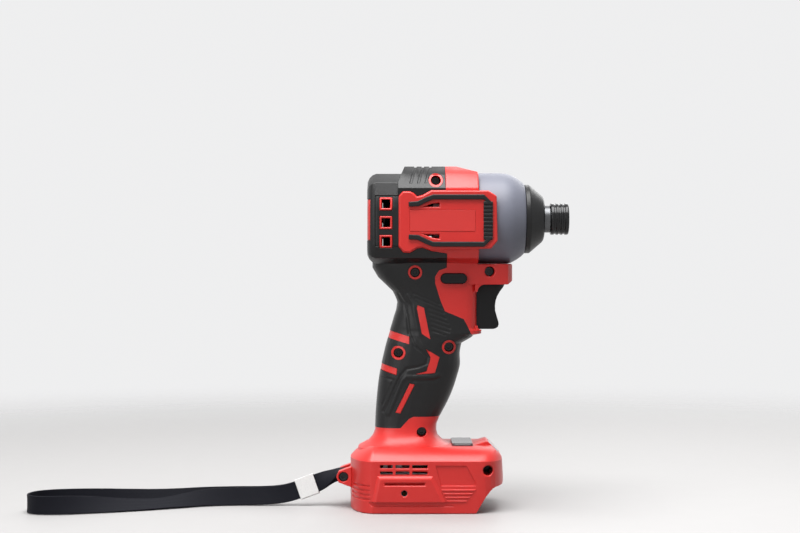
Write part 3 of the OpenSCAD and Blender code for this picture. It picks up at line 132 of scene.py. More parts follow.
class DriverColours(bpy.types.PropertyGroup):
    """Colours of the moulded and woven pieces"""

    shell: FloatVectorProperty(name="Shell", description="Red of the two housing halves", subtype="COLOR",
                               min=0, max=1, default=(0.66, 0.027, 0.023))
    rubber: FloatVectorProperty(name="Soft grip", description="Black of the rubber skin and bumpers", subtype="COLOR",
                                min=0, max=1, default=(0.0055, 0.0055, 0.006))
    plastic: FloatVectorProperty(name="Controls", description="Black of the trigger and the lever", subtype="COLOR",
                                 min=0, max=1, default=(0.006, 0.006, 0.0066))
    cover: FloatVectorProperty(name="Case cover", description="Blue-grey of the hammer case cover", subtype="COLOR",
                               min=0, max=1, default=(0.165, 0.172, 0.215))
    panel: FloatVectorProperty(name="Mode panel", description="Grey of the panel on the foot", subtype="COLOR",
                               min=0, max=1, default=(0.095, 0.095, 0.1))
    strap: FloatVectorProperty(name="Wrist strap", description="Dark navy of the webbing", subtype="COLOR",
                               min=0, max=1, default=(0.005, 0.0054, 0.009))
    keeper: FloatVectorProperty(name="Strap keeper", description="White of the sewn band", subtype="COLOR",
                                min=0, max=1, default=(0.78, 0.78, 0.77))


class DriverSizes(bpy.types.PropertyGroup):
    """Sizes that only the finish depends on"""

    shell_edge: FloatProperty(name="Shell edge", description="Rounding of the shell's moulded edges", unit="LENGTH",
                              min=0.0001, max=0.001, default=0.0007)
    skin_step: FloatProperty(name="Skin fineness", description="Longest edge on the soft skin", unit="LENGTH",
                             min=0.0005, max=0.003, default=0.00065)
    relief: FloatProperty(name="Grip relief", description="Share of the height of the lines in the grip",
                          min=0, max=1.5, default=1.0)
    strap_width: FloatProperty(name="Strap width", description="Width of the webbing", unit="LENGTH",
                               min=0.009, max=0.0115, default=0.011)
    strap_thickness: FloatProperty(name="Strap thickness", description="Thickness of the webbing", unit="LENGTH",
                                   min=0.0006, max=0.0012, default=0.001)


class DriverStage(bpy.types.PropertyGroup):
    """Floor, lamps and camera"""

    floor: FloatVectorProperty(name="Floor", description="Colour of the floor", subtype="COLOR",
                               min=0, max=1, default=(0.42, 0.413, 0.41))
    lens: FloatProperty(name="Lens", description="Focal length of the camera", subtype="DISTANCE_CAMERA",
                        min=20, max=200, default=72.6)
    distance: FloatProperty(name="Distance", description="Camera to the middle plane", unit="LENGTH",
                            min=0.5, max=3, default=1.0)
    overhead: FloatProperty(name="Overhead lamp", description="Power of the lamp above", subtype="POWER",
                            min=0, max=60, default=30)
    front: FloatProperty(name="Front lamp", description="Power of the lamp beside the camera", subtype="POWER",
                         min=0, max=60, default=8)


# Shader node groups that several finishes share


def shader_group(name, inputs, outputs):
    """A new node group with float, colour or vector sockets, its input node and its output node."""
    group = bpy.data.node_groups.new(name, "ShaderNodeTree")
    for label, kind, value in inputs:
        socket = group.interface.new_socket(label, in_out="INPUT", socket_type=kind)
        if value is not None:
            socket.default_value = value
    for label, kind in outputs:
        group.interface.new_socket(label, in_out="OUTPUT", socket_type=kind)
    return group, group.nodes.new("NodeGroupInput"), group.nodes.new("NodeGroupOutput")


def node(tree, kind, **settings):
    """A node with its settings; a socket's value is given by its name or index in values."""
    made = tree.nodes.new(kind)
    for key, value in settings.pop("values", {}).items():
        made.inputs[key].default_value = value
    for key, value in settings.items():
        setattr(made, key, value)
    return made


def join(tree, *pairs):
    """Links each output socket to each input socket."""
    for source, target in pairs:
        tree.links.new(source, target)


def grain_group():
    """Fine moulded grain and a slow drift over the surface, from Object coordinates."""
    group, given, out = shader_group(
        "Moulded grain",
        [("Scale", "NodeSocketFloat", 2500.0)],
        [("Grain", "NodeSocketFloat"), ("Drift", "NodeSocketFloat")],
    )
    place = node(group, "ShaderNodeTexCoord")
    fine = node(group, "ShaderNodeTexNoise", values={"Detail": 2.0, "Roughness": 0.55})
    broad = node(group, "ShaderNodeTexNoise", values={"Scale": 60.0, "Detail": 4.0, "Roughness": 0.6})
    join(
        group,
        (place.outputs["Object"], fine.inputs["Vector"]),
        (place.outputs["Object"], broad.inputs["Vector"]),
        (given.outputs["Scale"], fine.inputs["Scale"]),
        (fine.outputs["Fac"], out.inputs["Grain"]),
        (broad.outputs["Fac"], out.inputs["Drift"]),
    )
    return group


def tone_group():
    """A colour whose lightness follows a mask."""
    group, given, out = shader_group(
        "Tone drift",
        [("Color", "NodeSocketColor", (0.5, 0.5, 0.5, 1)), ("Mask", "NodeSocketFloat", 0.5),
         ("Amount", "NodeSocketFloat", 0.2)],
        [("Color", "NodeSocketColor")],
    )
    centre = node(group, "ShaderNodeMath", operation="SUBTRACT", values={1: 0.5})
    scaled = node(group, "ShaderNodeMath", operation="MULTIPLY_ADD", values={2: 1.0})
    shade = node(group, "ShaderNodeHueSaturation")
    join(
        group,
        (given.outputs["Mask"], centre.inputs[0]),
        (centre.outputs[0], scaled.inputs[0]),
        (given.outputs["Amount"], scaled.inputs[1]),
        (scaled.outputs[0], shade.inputs["Value"]),
        (given.outputs["Color"], shade.inputs["Color"]),
        (shade.outputs["Color"], out.inputs["Color"]),
    )
    return group


def turned_group():
    """Fine lathe lines round the drive axis."""
    group, given, out = shader_group(
        "Turned lines", [("Scale", "NodeSocketFloat", 9000.0)],
        [("Lines", "NodeSocketFloat"), ("Drift", "NodeSocketFloat")],
    )
    place = node(group, "ShaderNodeTexCoord")
    centred = node(group, "ShaderNodeMapping", values={"Location": (0, 0, -AXIS_Z)})
    split = node(group, "ShaderNodeSeparateXYZ")
    flat = node(group, "ShaderNodeCombineXYZ")
    reach = node(group, "ShaderNodeVectorMath", operation="LENGTH")
    ring = node(group, "ShaderNodeCombineXYZ")
    lines = node(group, "ShaderNodeTexNoise", values={"Detail": 3.0, "Roughness": 0.7})
    broad = node(group, "ShaderNodeTexNoise", values={"Scale": 90.0, "Detail": 3.0})
    join(
        group,
        (place.outputs["Object"], centred.inputs["Vector"]),
        (centred.outputs["Vector"], split.inputs["Vector"]),
        (split.outputs["Y"], flat.inputs["Y"]),
        (split.outputs["Z"], flat.inputs["Z"]),
        (flat.outputs["Vector"], reach.inputs[0]),
        (split.outputs["X"], ring.inputs["X"]),
        (reach.outputs["Value"], ring.inputs["Y"]),
        (ring.outputs["Vector"], lines.inputs["Vector"]),
        (given.outputs["Scale"], lines.inputs["Scale"]),
        (place.outputs["Object"], broad.inputs["Vector"]),
        (lines.outputs["Fac"], out.inputs["Lines"]),
        (broad.outputs["Fac"], out.inputs["Drift"]),
    )
    return group


def weave_group():
    """Herringbone webbing on the piece's own UV map, in millimetres: U across and V along."""
    group, given, out = shader_group(
        "Webbing weave",
        [("Pitch", "NodeSocketFloat", 0.9), ("Half width", "NodeSocketFloat", 5.5)],
        [("Height", "NodeSocketFloat"), ("Shade", "NodeSocketFloat")],
    )
    place = node(group, "ShaderNodeUVMap")
    split = node(group, "ShaderNodeSeparateXYZ")
    across = node(group, "ShaderNodeMath", operation="PINGPONG", values={1: 1.375})
    slant = node(group, "ShaderNodeMath", operation="ADD")
    turns = node(group, "ShaderNodeMath", operation="DIVIDE")
    wave = node(group, "ShaderNodeMath", operation="PINGPONG", values={1: 0.5})
    cross = node(group, "ShaderNodeMath", operation="DIVIDE", values={1: 0.55})
    yarn = node(group, "ShaderNodeMath", operation="PINGPONG", values={1: 0.5})
    both = node(group, "ShaderNodeMath", operation="MULTIPLY_ADD", values={1: 0.7})
    fuzz = node(group, "ShaderNodeTexNoise", values={"Scale": 1.4, "Detail": 5.0, "Roughness": 0.65})
    join(
        group,
        (place.outputs["UV"], split.inputs["Vector"]),
        (split.outputs["X"], across.inputs[0]),
        (across.outputs[0], slant.inputs[0]),
        (split.outputs["Y"], slant.inputs[1]),
        (slant.outputs[0], turns.inputs[0]),
        (given.outputs["Pitch"], turns.inputs[1]),
        (turns.outputs[0], wave.inputs[0]),
        (split.outputs["X"], cross.inputs[0]),
        (cross.outputs[0], yarn.inputs[0]),
        (yarn.outputs[0], both.inputs[0]),
        (wave.outputs[0], both.inputs[2]),
        (both.outputs[0], out.inputs["Height"]),
        (place.outputs["UV"], fuzz.inputs["Vector"]),
        (fuzz.outputs["Fac"], out.inputs["Shade"]),
    )
    return group


GROUPS = {}


def group_of(maker):
    """The shared group that a maker builds, built once."""
    if maker not in GROUPS:
        GROUPS[maker] = maker()
    return GROUPS[maker]


# Finishes


def new_finish(name, **sockets):
    """A material with a Principled BSDF whose plain sockets are set here."""
    material = bpy.data.materials.new(name)
    material.use_nodes = True
    shader = material.node_tree.nodes["Principled BSDF"]
    for label, value in sockets.items():
        shader.inputs[label.replace("_", " ")].default_value = value
    return material, material.node_tree, shader


def seen_rays(tree):
    """1 on the rays by which the background is seen, direct, in a reflection or through glass, and 0 on the others."""
    rays = node(tree, "ShaderNodeLightPath")
    direct = node(tree, "ShaderNodeMath", operation="MAXIMUM")
    either = node(tree, "ShaderNodeMath", operation="MAXIMUM")
    join(
        tree,
        (rays.outputs["Is Camera Ray"], direct.inputs[0]),
        (rays.outputs["Is Glossy Ray"], direct.inputs[1]),
        (direct.outputs[0], either.inputs[0]),
        (rays.outputs["Is Transmission Ray"], either.inputs[1]),
    )
    return either.outputs[0]


def spread(tree, mask, low, high):
    """A value between low and high that follows a mask."""
    made = node(tree, "ShaderNodeMapRange", values={"To Min": low, "To Max": high})
    join(tree, (mask, made.inputs["Value"]))
    return made.outputs["Result"]


def raised(tree, shader, height, strength, distance):
    """Bump from a height in metres."""
    made = node(tree, "ShaderNodeBump", values={"Strength": strength, "Distance": distance})
    join(tree, (height, made.inputs["Height"]), (made.outputs["Normal"], shader.inputs["Normal"]))


def moulded(name, colour, rough=(0.42, 0.5), grain=2600.0, relief=0.00006, drift=0.25, **sockets):
    """Moulded plastic or rubber: fine grain, slow colour drift and uneven gloss."""
    material, tree, shader = new_finish(name, **sockets)
    surface = node(tree, "ShaderNodeGroup", node_tree=group_of(grain_group))
    surface.inputs["Scale"].default_value = grain
    tone = node(tree, "ShaderNodeGroup", node_tree=group_of(tone_group))
    tone.inputs["Color"].default_value = (*colour, 1)
    tone.inputs["Amount"].default_value = drift
    join(tree, (surface.outputs["Drift"], tone.inputs["Mask"]), (tone.outputs["Color"], shader.inputs["Base Color"]),
         (spread(tree, surface.outputs["Drift"], *rough), shader.inputs["Roughness"]))
    raised(tree, shader, surface.outputs["Grain"], 0.5, relief)
    return material


def turned_metal(name, colour, rough=(0.2, 0.36), scale=9000.0, relief=0.00002, **sockets):
    """Metal turned on a lathe, with fine rings and uneven polish."""
    material, tree, shader = new_finish(name, **{"Metallic": 1.0, **sockets})
    surface = node(tree, "ShaderNodeGroup", node_tree=group_of(turned_group))
    surface.inputs["Scale"].default_value = scale
    tone = node(tree, "ShaderNodeGroup", node_tree=group_of(tone_group))
    tone.inputs["Color"].default_value = (*colour, 1)
    tone.inputs["Amount"].default_value = 0.3
    join(tree, (surface.outputs["Lines"], tone.inputs["Mask"]), (tone.outputs["Color"], shader.inputs["Base Color"]),
         (spread(tree, surface.outputs["Drift"], *rough), shader.inputs["Roughness"]))
    raised(tree, shader, surface.outputs["Lines"], 0.4, relief)
    return material


def webbing(name, colour, pitch, gloss):
    """Woven band with a herringbone and a satin gloss."""
    material, tree, shader = new_finish(name, Specular_IOR_Level=gloss)
    cloth = node(tree, "ShaderNodeGroup", node_tree=group_of(weave_group))
    cloth.inputs["Pitch"].default_value = pitch
    tone = node(tree, "ShaderNodeGroup", node_tree=group_of(tone_group))
    tone.inputs["Color"].default_value = (*colour, 1)
    tone.inputs["Amount"].default_value = 0.5
    join(tree, (cloth.outputs["Shade"], tone.inputs["Mask"]), (tone.outputs["Color"], shader.inputs["Base Color"]),
         (spread(tree, cloth.outputs["Height"], 0.7, 0.5), shader.inputs["Roughness"]))
    raised(tree, shader, cloth.outputs["Height"], 0.7, 0.00018)
    return material


FINISHES = {}


def finish_of(key):
    """The named finish, made on first use."""
    if key not in FINISHES:
        colours = bpy.context.scene.driver_colours
        FINISHES[key] = {
            "shell": lambda: moulded("Red shell", colours.shell, (0.3, 0.4), 2200.0, 0.00005, 0.12,
                                     Specular_IOR_Level=0.45),
            "rubber": lambda: moulded("Soft black rubber", colours.rubber, (0.3, 0.42), 3200.0, 0.00008, 0.35,
                                      Specular_IOR_Level=0.31),
            "plastic": lambda: moulded("Black controls", colours.plastic, (0.36, 0.46), 2800.0, 0.00006, 0.25,
                                       Specular_IOR_Level=0.2),
            "cover": lambda: moulded("Blue-grey cover", colours.cover, (0.42, 0.52), 1800.0, 0.00008, 0.12),
            "label": lambda: moulded("Bare red film", (0.67, 0.036, 0.031), (0.3, 0.4), 900.0, 0.00002, 0.1),
            "panel": lambda: moulded("Grey panel", colours.panel, (0.16, 0.24), 1200.0, 0.00001, 0.15,
                                     Specular_IOR_Level=0.4),
            "lens": lambda: moulded("Frosted lens", (0.5, 0.51, 0.53), (0.22, 0.34), 1500.0, 0.00003, 0.1,
                                    Coat_Weight=0.5, Coat_Roughness=0.12),
            "board": lambda: moulded("Green circuit board", (0.02, 0.13, 0.05), (0.3, 0.42), 1400.0, 0.00004, 0.3),
            "wire": lambda: moulded("Red wire", (0.42, 0.03, 0.03), (0.34, 0.46), 1800.0, 0.00003, 0.15),
            "alloy": lambda: moulded("Cast alloy", (0.5, 0.5, 0.52), (0.36, 0.5), 1600.0, 0.00008, 0.25, Metallic=1.0),
            "steel": lambda: turned_metal("Turned steel", (0.1, 0.102, 0.106), (0.26, 0.4)),
            "dark steel": lambda: turned_metal("Dark oiled steel", (0.2, 0.2, 0.21), (0.3, 0.45)),
            "black steel": lambda: turned_metal("Black oxide steel", (0.008, 0.008, 0.009), (0.14, 0.22), 6000.0, 0.00003,
                                                Metallic=0.3, Specular_IOR_Level=0.45),
            "bronze": lambda: turned_metal("Bronze", (0.5, 0.34, 0.14), (0.3, 0.44)),
            "copper": lambda: turned_metal("Copper winding", (0.58, 0.24, 0.11), (0.24, 0.36), 2200.0, 0.00012),
            "strap": lambda: webbing("Navy webbing", colours.strap, 0.9, 0.11),
            "keeper": lambda: webbing("White woven band", colours.keeper, 0.6, 0.4),
        }[key]()
    return FINISHES[key]


# Pieces


def merged_copy(name):
    """A copy of a measured solid with its corners joined and its flat faces made whole."""
    bm = bmesh.new()
    bm.from_mesh(frame["nodes"][name].data)
    bmesh.ops.remove_doubles(bm, verts=bm.verts, dist=2e-6)
    bmesh.ops.dissolve_limit(bm, angle_limit=math.radians(0.4), use_dissolve_boundaries=False, verts=bm.verts,
                             edges=bm.edges, delimit={"NORMAL"})
    bmesh.ops.triangulate(bm, faces=bm.faces)
    bmesh.ops.recalc_face_normals(bm, faces=bm.faces)
    return bm


def split_long(bm, chosen, reach):
    """Splits the chosen faces' edges until none is longer than reach; what comes from them is returned."""
    held = bm.faces.layers.int.new("held")
    for face in bm.faces:
        face[held] = int(chosen(face))
    for _ in range(6):
        edges = [e for e in bm.edges if e.calc_length() > reach and any(f[held] for f in e.link_faces)]
        bmesh.ops.subdivide_edges(bm, edges=edges, cuts=1)
        bmesh.ops.triangulate(bm, faces=[f for f in bm.faces if len(f.verts) > 3])
    return [f for f in bm.faces if f[held]]


def rounded(bm, chosen, reach):
    """Splits the chosen faces' edges down to reach and lifts each new corner on to the arc between its ends."""
    held = bm.faces.layers.int.new("rounded")
    for face in bm.faces:
        face[held] = int(chosen(face))
    for _ in range(3):
        bm.normal_update()
        arcs = {}
        for edge in bm.edges:
            if edge.calc_length() > reach and any(f[held] for f in edge.link_faces):
                middle = (edge.verts[0].co + edge.verts[1].co) / 2
                lift = Vector()
                for vert in edge.verts:
                    turns = [loop.face.normal * loop.calc_angle() for loop in vert.link_loops if loop.face[held]]
                    lean = sum(turns, Vector()).normalized()
                    lift += lean * (vert.co - middle).dot(lean) / 4
                arcs[edge] = (middle, lift)
        spots = {tuple(round(c * 1e7) for c in middle): lift for middle, lift in arcs.values()}
        bmesh.ops.subdivide_edges(bm, edges=list(arcs), cuts=1)
        for vert in bm.verts:
            vert.co += spots.get(tuple(round(c * 1e7) for c in vert.co), Vector())
        bmesh.ops.triangulate(bm, faces=[f for f in bm.faces if len(f.verts) > 3])
    bm.normal_update()


def line_heights(spots):
    """The height in metres that the grip's lines give to points of its side."""
    x, z = (spots[:, 0] + FOOT_MIDDLE) * 1000, spots[:, 2] * 1000
    total = np.zeros(len(spots))
    for half, height, corners in GRIP_LINES:
        gap = np.full(len(spots), 1e9)
        for (ax, az), (bx, bz) in zip(corners, corners[1:]):
            along = ((x - ax) * (bx - ax) + (z - az) * (bz - az)) / ((bx - ax) ** 2 + (bz - az) ** 2)
            along = np.clip(along, 0, 1)
            gap = np.minimum(gap, np.hypot(x - ax - along * (bx - ax), z - az - along * (bz - az)))
        total += height * (0.5 + 0.5 * np.cos(np.pi * np.clip(gap / half, 0, 1)))
    return total / 1000


def mark_sharp(bm, angle):
    """Marks the edges at which the faces turn by more than an angle, in degrees, and smooths the rest."""
    for face in bm.faces:
        face.smooth = True
    for edge in bm.edges:
        edge.smooth = edge.is_manifold and edge.calc_face_angle() < math.radians(angle)


def placed(name, bm, finish, like):
    """Makes the finished object, which rides with the solid that it stands for and replaces it."""
    mesh = bpy.data.meshes.new(name)
    bm.to_mesh(mesh)
    bm.free()
    mesh.materials.append(finish_of(finish))
    piece = bpy.data.objects.new(name, mesh)
    bpy.context.scene.collection.objects.link(piece)
    solid = frame["nodes"][like]
    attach(piece, solid["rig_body"])
    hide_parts(like)
    return piece


def off_line(point, edge):
    """How far a point lies from the line of an edge."""
    start, finish = (vert.co for vert in edge.verts)
    along = (finish - start).normalized()
    return ((point - start) - along * (point - start).dot(along)).length


def room_beside(edge, sharp):
    """How far a sharp edge can be cut back before it meets the far corners and edges of the faces round it."""
    room = [off_line(vert.co, edge) for face in edge.link_faces for vert in face.verts if vert not in edge.verts]
    for vert in edge.verts:
        for face in vert.link_faces:
            if not any(side in sharp for side in face.edges if vert in side.verts):
                room += [off_line(vert.co, side) for side in face.edges if vert not in side.verts]
    return min(room)


def smooth_runs(sharp):
    """The sharp edges in runs, each of which goes on from edge to edge without a corner."""
    left, runs = set(sharp), []
    while left:
        run, front = [], [left.pop()]
        while front:
            edge = front.pop()
            run.append(edge)
            for vert in edge.verts:
                heading = (vert.co - edge.other_vert(vert).co).normalized()
                for other in vert.link_edges:
                    if other in left and (other.other_vert(vert).co - vert.co).normalized().dot(heading) > 0.6:
                        left.remove(other)
                        front.append(other)
        runs.append(run)
    return runs


def eased(piece, width, segments=2, angle=38.0):
    """Rounds the piece's sharp edges, each run by as much as its faces have room for, and evenly along it."""
    bm = bmesh.new()
    bm.from_mesh(piece.data)
    share = bm.edges.layers.float.new("bevel_weight_edge")
    turned = math.radians(angle)
    sharp = {e for e in bm.edges if not e.smooth and e.is_manifold and e.calc_face_angle() > turned}
    for run in smooth_runs(sharp):
        room = min(room_beside(edge, sharp) for edge in run)
        for edge in run:
            edge[share] = min(1.0, 0.42 * room / width)
    bm.to_mesh(piece.data)
    bm.free()
    edge = piece.modifiers.new("Eased edges", "BEVEL")
    edge.width = width
    edge.segments = segments
    edge.limit_method = "WEIGHT"
    edge.use_clamp_overlap = False
    edge.loop_slide = False
    even = piece.modifiers.new("Even shading", "WEIGHTED_NORMAL")
    even.keep_sharp = True
    even.weight = 90
    return piece


def dressed(like, finish, width=0.00025, segments=2, sharp=32.0):
    """A refined copy of a solid with eased edges and its finish."""
    bm = merged_copy(like)
    mark_sharp(bm, sharp)
    return eased(placed(like + "_finished", bm, finish, like), width, segments)


def sprung(like, wire, turns, finish="steel"):
    """A round-wire coil in place of a solid spring."""
    low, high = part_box(like)
    axis = (low + high) / 2
    radius = (high.y - low.y) / 2 - wire
    bm = bmesh.new()
    start = Matrix.Translation((low.x + wire, axis.y + radius, axis.z))
    ring = bmesh.ops.create_circle(bm, segments=14, radius=wire, matrix=start)
    steps = int(turns * 28)
    bmesh.ops.spin(bm, geom=ring["verts"] + list(bm.edges), cent=axis, axis=(1, 0, 0), angle=math.tau * turns,
                   steps=steps, dvec=((high.x - low.x - 2 * wire) / steps, 0, 0))
    bmesh.ops.remove_doubles(bm, verts=bm.verts, dist=1e-6)
    bmesh.ops.holes_fill(bm, edges=[e for e in bm.edges if e.is_boundary], sides=0)
    bmesh.ops.recalc_face_normals(bm, faces=bm.faces)
    mark_sharp(bm, 60.0)
    coil = placed(like + "_coil", bm, finish, like)
    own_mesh(coil)
    return coil


def painted(finish, *names):
    """Gives solids that stay as they are their finish."""
    for name in names:
        solid = frame["nodes"][name]
        solid.data.materials.clear()
        solid.data.materials.append(finish_of(finish))


def smooth_route(route, steps):
    """Points on a smooth curve through a route, steps of them to each stretch."""
    points = [Vector(p) for p in route]
    made = []
    for i in range(len(points) - 1):
        a, b = points[max(i - 1, 0)], points[i]
        c, d = points[i + 1], points[min(i + 2, len(points) - 1)]
        for k in range(steps):
            t = k / steps
            made.append(0.5 * (2 * b + (c - a) * t + (2 * a - 5 * b + 4 * c - d) * t * t
                               + (3 * b - a - 3 * c + d) * t * t * t))
    return made + [points[-1]]


class DRIVER_OT_stage(bpy.types.Operator):
    """Adds the floor, the lamps, the world and the camera"""

    bl_idname = "driver.stage"
    bl_label = "Stage"

    def execute(self, context):
        scene, stage = context.scene, context.scene.driver_stage
        scene.view_settings.view_transform = "Standard"
        world = scene.world or bpy.data.worlds.new("Studio")
        scene.world = world
        world.use_nodes = True
        tree = world.node_tree
        tree.nodes.clear()
        light = node(tree, "ShaderNodeBackground", values={"Color": (1, 1, 1, 1), "Strength": 0.2})
        wall = node(tree, "ShaderNodeBackground", values={"Color": (0.86, 0.86, 0.865, 1), "Strength": 1.0})
        choice = node(tree, "ShaderNodeMixShader")
        out = node(tree, "ShaderNodeOutputWorld")
        join(
            tree,
            (seen_rays(tree), choice.inputs["Fac"]),
            (light.outputs[0], choice.inputs[1]),
            (wall.outputs[0], choice.inputs[2]),
            (choice.outputs[0], out.inputs["Surface"]),
        )
        bm = bmesh.new()
        bmesh.ops.create_circle(bm, cap_ends=True, segments=96, radius=3.0)
        mesh = bpy.data.meshes.new("Floor")
        bm.to_mesh(mesh)
        bm.free()
        floor = bpy.data.objects.new("Floor", mesh)
        scene.collection.objects.link(floor)
        material, ground, shader = new_finish("Pale floor", Roughness=0.55)
        surface = node(ground, "ShaderNodeGroup", node_tree=group_of(grain_group))
        surface.inputs["Scale"].default_value = 900.0
        tone = node(ground, "ShaderNodeGroup", node_tree=group_of(tone_group))
        tone.inputs["Amount"].default_value = 0.04
        ground_tone = node(ground, "ShaderNodeMix", data_type="RGBA")
        ground_tone.inputs["A"].default_value = (*(0.4 * part for part in stage.floor), 1)
        ground_tone.inputs["B"].default_value = (*stage.floor, 1)
        place = node(ground, "ShaderNodeTexCoord")
        reach = node(ground, "ShaderNodeVectorMath", operation="LENGTH")
        fade = node(ground, "ShaderNodeMapRange", interpolation_type="SMOOTHERSTEP",
                    values={"From Min": 0.35, "From Max": 1.1})
        clear = node(ground, "ShaderNodeBsdfTransparent")
        choice = node(ground, "ShaderNodeMixShader")
        join(
            ground,
            (surface.outputs["Drift"], tone.inputs["Mask"]),
            (seen_rays(ground), ground_tone.inputs["Factor"]),
            (ground_tone.outputs["Result"], tone.inputs["Color"]),
            (tone.outputs["Color"], shader.inputs["Base Color"]),
            (place.outputs["Object"], reach.inputs[0]),
            (reach.outputs["Value"], fade.inputs["Value"]),
            (fade.outputs["Result"], choice.inputs["Fac"]),
            (shader.outputs["BSDF"], choice.inputs[1]),
            (clear.outputs["BSDF"], choice.inputs[2]),
            (choice.outputs["Shader"], ground.nodes["Material Output"].inputs["Surface"]),
        )
        mesh.materials.append(material)
        lamps = (
            ("Overhead lamp", stage.overhead, 1.0, (-0.1, -0.25, 1.25), (0.0, 0.0, 0.1)),
            ("Front lamp", stage.front, 1.1, (-0.95, -1.05, 0.7), (0.0, 0.0, 0.1)),
            ("Rear lamp", stage.front * 0.6, 0.9, (0.5, 1.1, 0.8), (0.0, 0.0, 0.1)),
        )
        for name, power, size, where, target in lamps:
            lamp = bpy.data.lights.new(name, "AREA")
            lamp.energy = power
            lamp.size = size
            made = bpy.data.objects.new(name, lamp)
            made.location = where
            made.rotation_euler = (Vector(target) - Vector(where)).to_track_quat("-Z", "Y").to_euler()
            scene.collection.objects.link(made)
        lens = bpy.data.cameras.new("Camera")
        lens.lens = stage.lens
        lens.sensor_width = 36.0
        lens.clip_start = 0.01
        camera = bpy.data.objects.new("Camera", lens)
        camera.location = (-0.0074 - FOOT_MIDDLE, -stage.distance, 0.1481)
        camera.rotation_euler = (math.radians(90), 0, 0)
        scene.collection.objects.link(camera)
        scene.camera = camera
        return {"FINISHED"}


class DRIVER_OT_wrist_strap(bpy.types.Operator):
    """Lays the webbing along its route and sews the keeper round it"""

    bl_idname = "driver.wrist_strap"
    bl_label = "Wrist strap"

    def execute(self, context):
        sizes = context.scene.driver_sizes
        half, thick = sizes.strap_width / 2, sizes.strap_thickness / 2
        stations = smooth_route([(x, y, z, math.radians(turn)) for x, y, z, turn in STRAP_ROUTE], 6)
        section = [(-1, -0.35), (-0.96, -1), (-0.86, -1.05), (-0.5, -0.8), (0, -0.8), (0.5, -0.8), (0.86, -1.05),
                   (0.96, -1), (1, -0.35), (1, 0.35), (0.96, 1), (0.86, 1.05), (0.5, 0.8), (0, 0.8), (-0.5, 0.8),
                   (-0.86, 1.05), (-0.96, 1), (-1, 0.35)]
        bm = bmesh.new()
        across = bm.verts.layers.float.new("across")
        along = bm.verts.layers.float.new("along")
        ring, edges, run = None, None, 0.0
        for i, station in enumerate(stations):
            here = station.xyz
            before, after = stations[max(i - 1, 0)].xyz, stations[min(i + 1, len(stations) - 1)].xyz
            heading = (after - before).normalized()
            turn = station.w
            width = Vector((0, math.sin(turn), math.cos(turn)))
            width = (width - heading * width.dot(heading)).normalized()
            face = width.cross(heading).normalized()
            run += (here - before).length if i else 0.0
            spots = [here + width * (a * half) + face * (b * thick) for a, b in section]
            if ring is None:
                ring = [bm.verts.new(spot) for spot in spots]
                edges = [bm.edges.new((ring[k], ring[(k + 1) % len(ring)])) for k in range(len(ring))]
            else:
                grown = bmesh.ops.extrude_edge_only(bm, edges=edges)["geom"]
                edges = [g for g in grown if isinstance(g, bmesh.types.BMEdge)]
                fresh = [g for g in grown if isinstance(g, bmesh.types.BMVert)]
                order = {}
                for vert in fresh:
                    for edge in vert.link_edges:
                        other = edge.other_vert(vert)
                        if other in ring:
                            order[ring.index(other)] = vert
                ring = [order[k] for k in range(len(ring))]
                for vert, spot in zip(ring, spots):
                    vert.co = spot
            for vert, (a, b) in zip(ring, section):
                vert[across] = a * half * 1000 + (40 if b > 0 else 0)
                vert[along] = run * 1000
        bmesh.ops.holes_fill(bm, edges=[e for e in bm.edges if e.is_boundary], sides=0)
        bmesh.ops.recalc_face_normals(bm, faces=bm.faces)
        uv = bm.loops.layers.uv.new("UVMap")
        for face in bm.faces:
            for loop in face.loops:
                loop[uv].uv = (loop.vert[across], loop.vert[along])
        mark_sharp(bm, 50.0)
        strap = placed("wrist_strap_webbing", bm, "strap", "wrist_strap")
        keeper = dressed("strap_keeper", "keeper", 0.0004, 3)
        wrap = keeper.data.uv_layers.new(name="UVMap")
        for loop in keeper.data.loops:
            spot = keeper.data.vertices[loop.vertex_index].co
            wrap.data[loop.index].uv = (spot.z * 1000, (spot.x + spot.y) * 1000)
        return {"FINISHED"}


class DRIVER_OT_housing(bpy.types.Operator):
    """Finishes the two red housing halves"""

    bl_idname = "driver.housing"
    bl_label = "Housing halves"

    def execute(self, context):
        for side in ("left", "right"):
            dressed("housing_" + side, "shell", context.scene.driver_sizes.shell_edge)
        return {"FINISHED"}


def faces_out(face):
    """True for a face of the grip, below the head, that looks away from the grip's leaning middle line."""
    spot = face.calc_center_median()
    middle = GRIP_FOOT_X + GRIP_LEAN * (spot.z - GRIP_FOOT_Z)
    return spot.z < GRIP_TOP_Z and face.normal.x * (spot.x - middle) + face.normal.y * spot.y > 0.0


def even_out(bm, faces, chosen):
    """Takes the steps out of a side of the grip, at the chosen corners, and leaves its rims where they are."""
    side = set(faces)
    inner = {v for f in faces for v in f.verts if all(near in side for near in v.link_faces)}
    free = [v for v in inner if chosen(v)]
    for _ in range(25):
        bmesh.ops.smooth_vert(bm, verts=free, factor=0.5, use_axis_x=True, use_axis_y=True, use_axis_z=True)
    bm.normal_update()


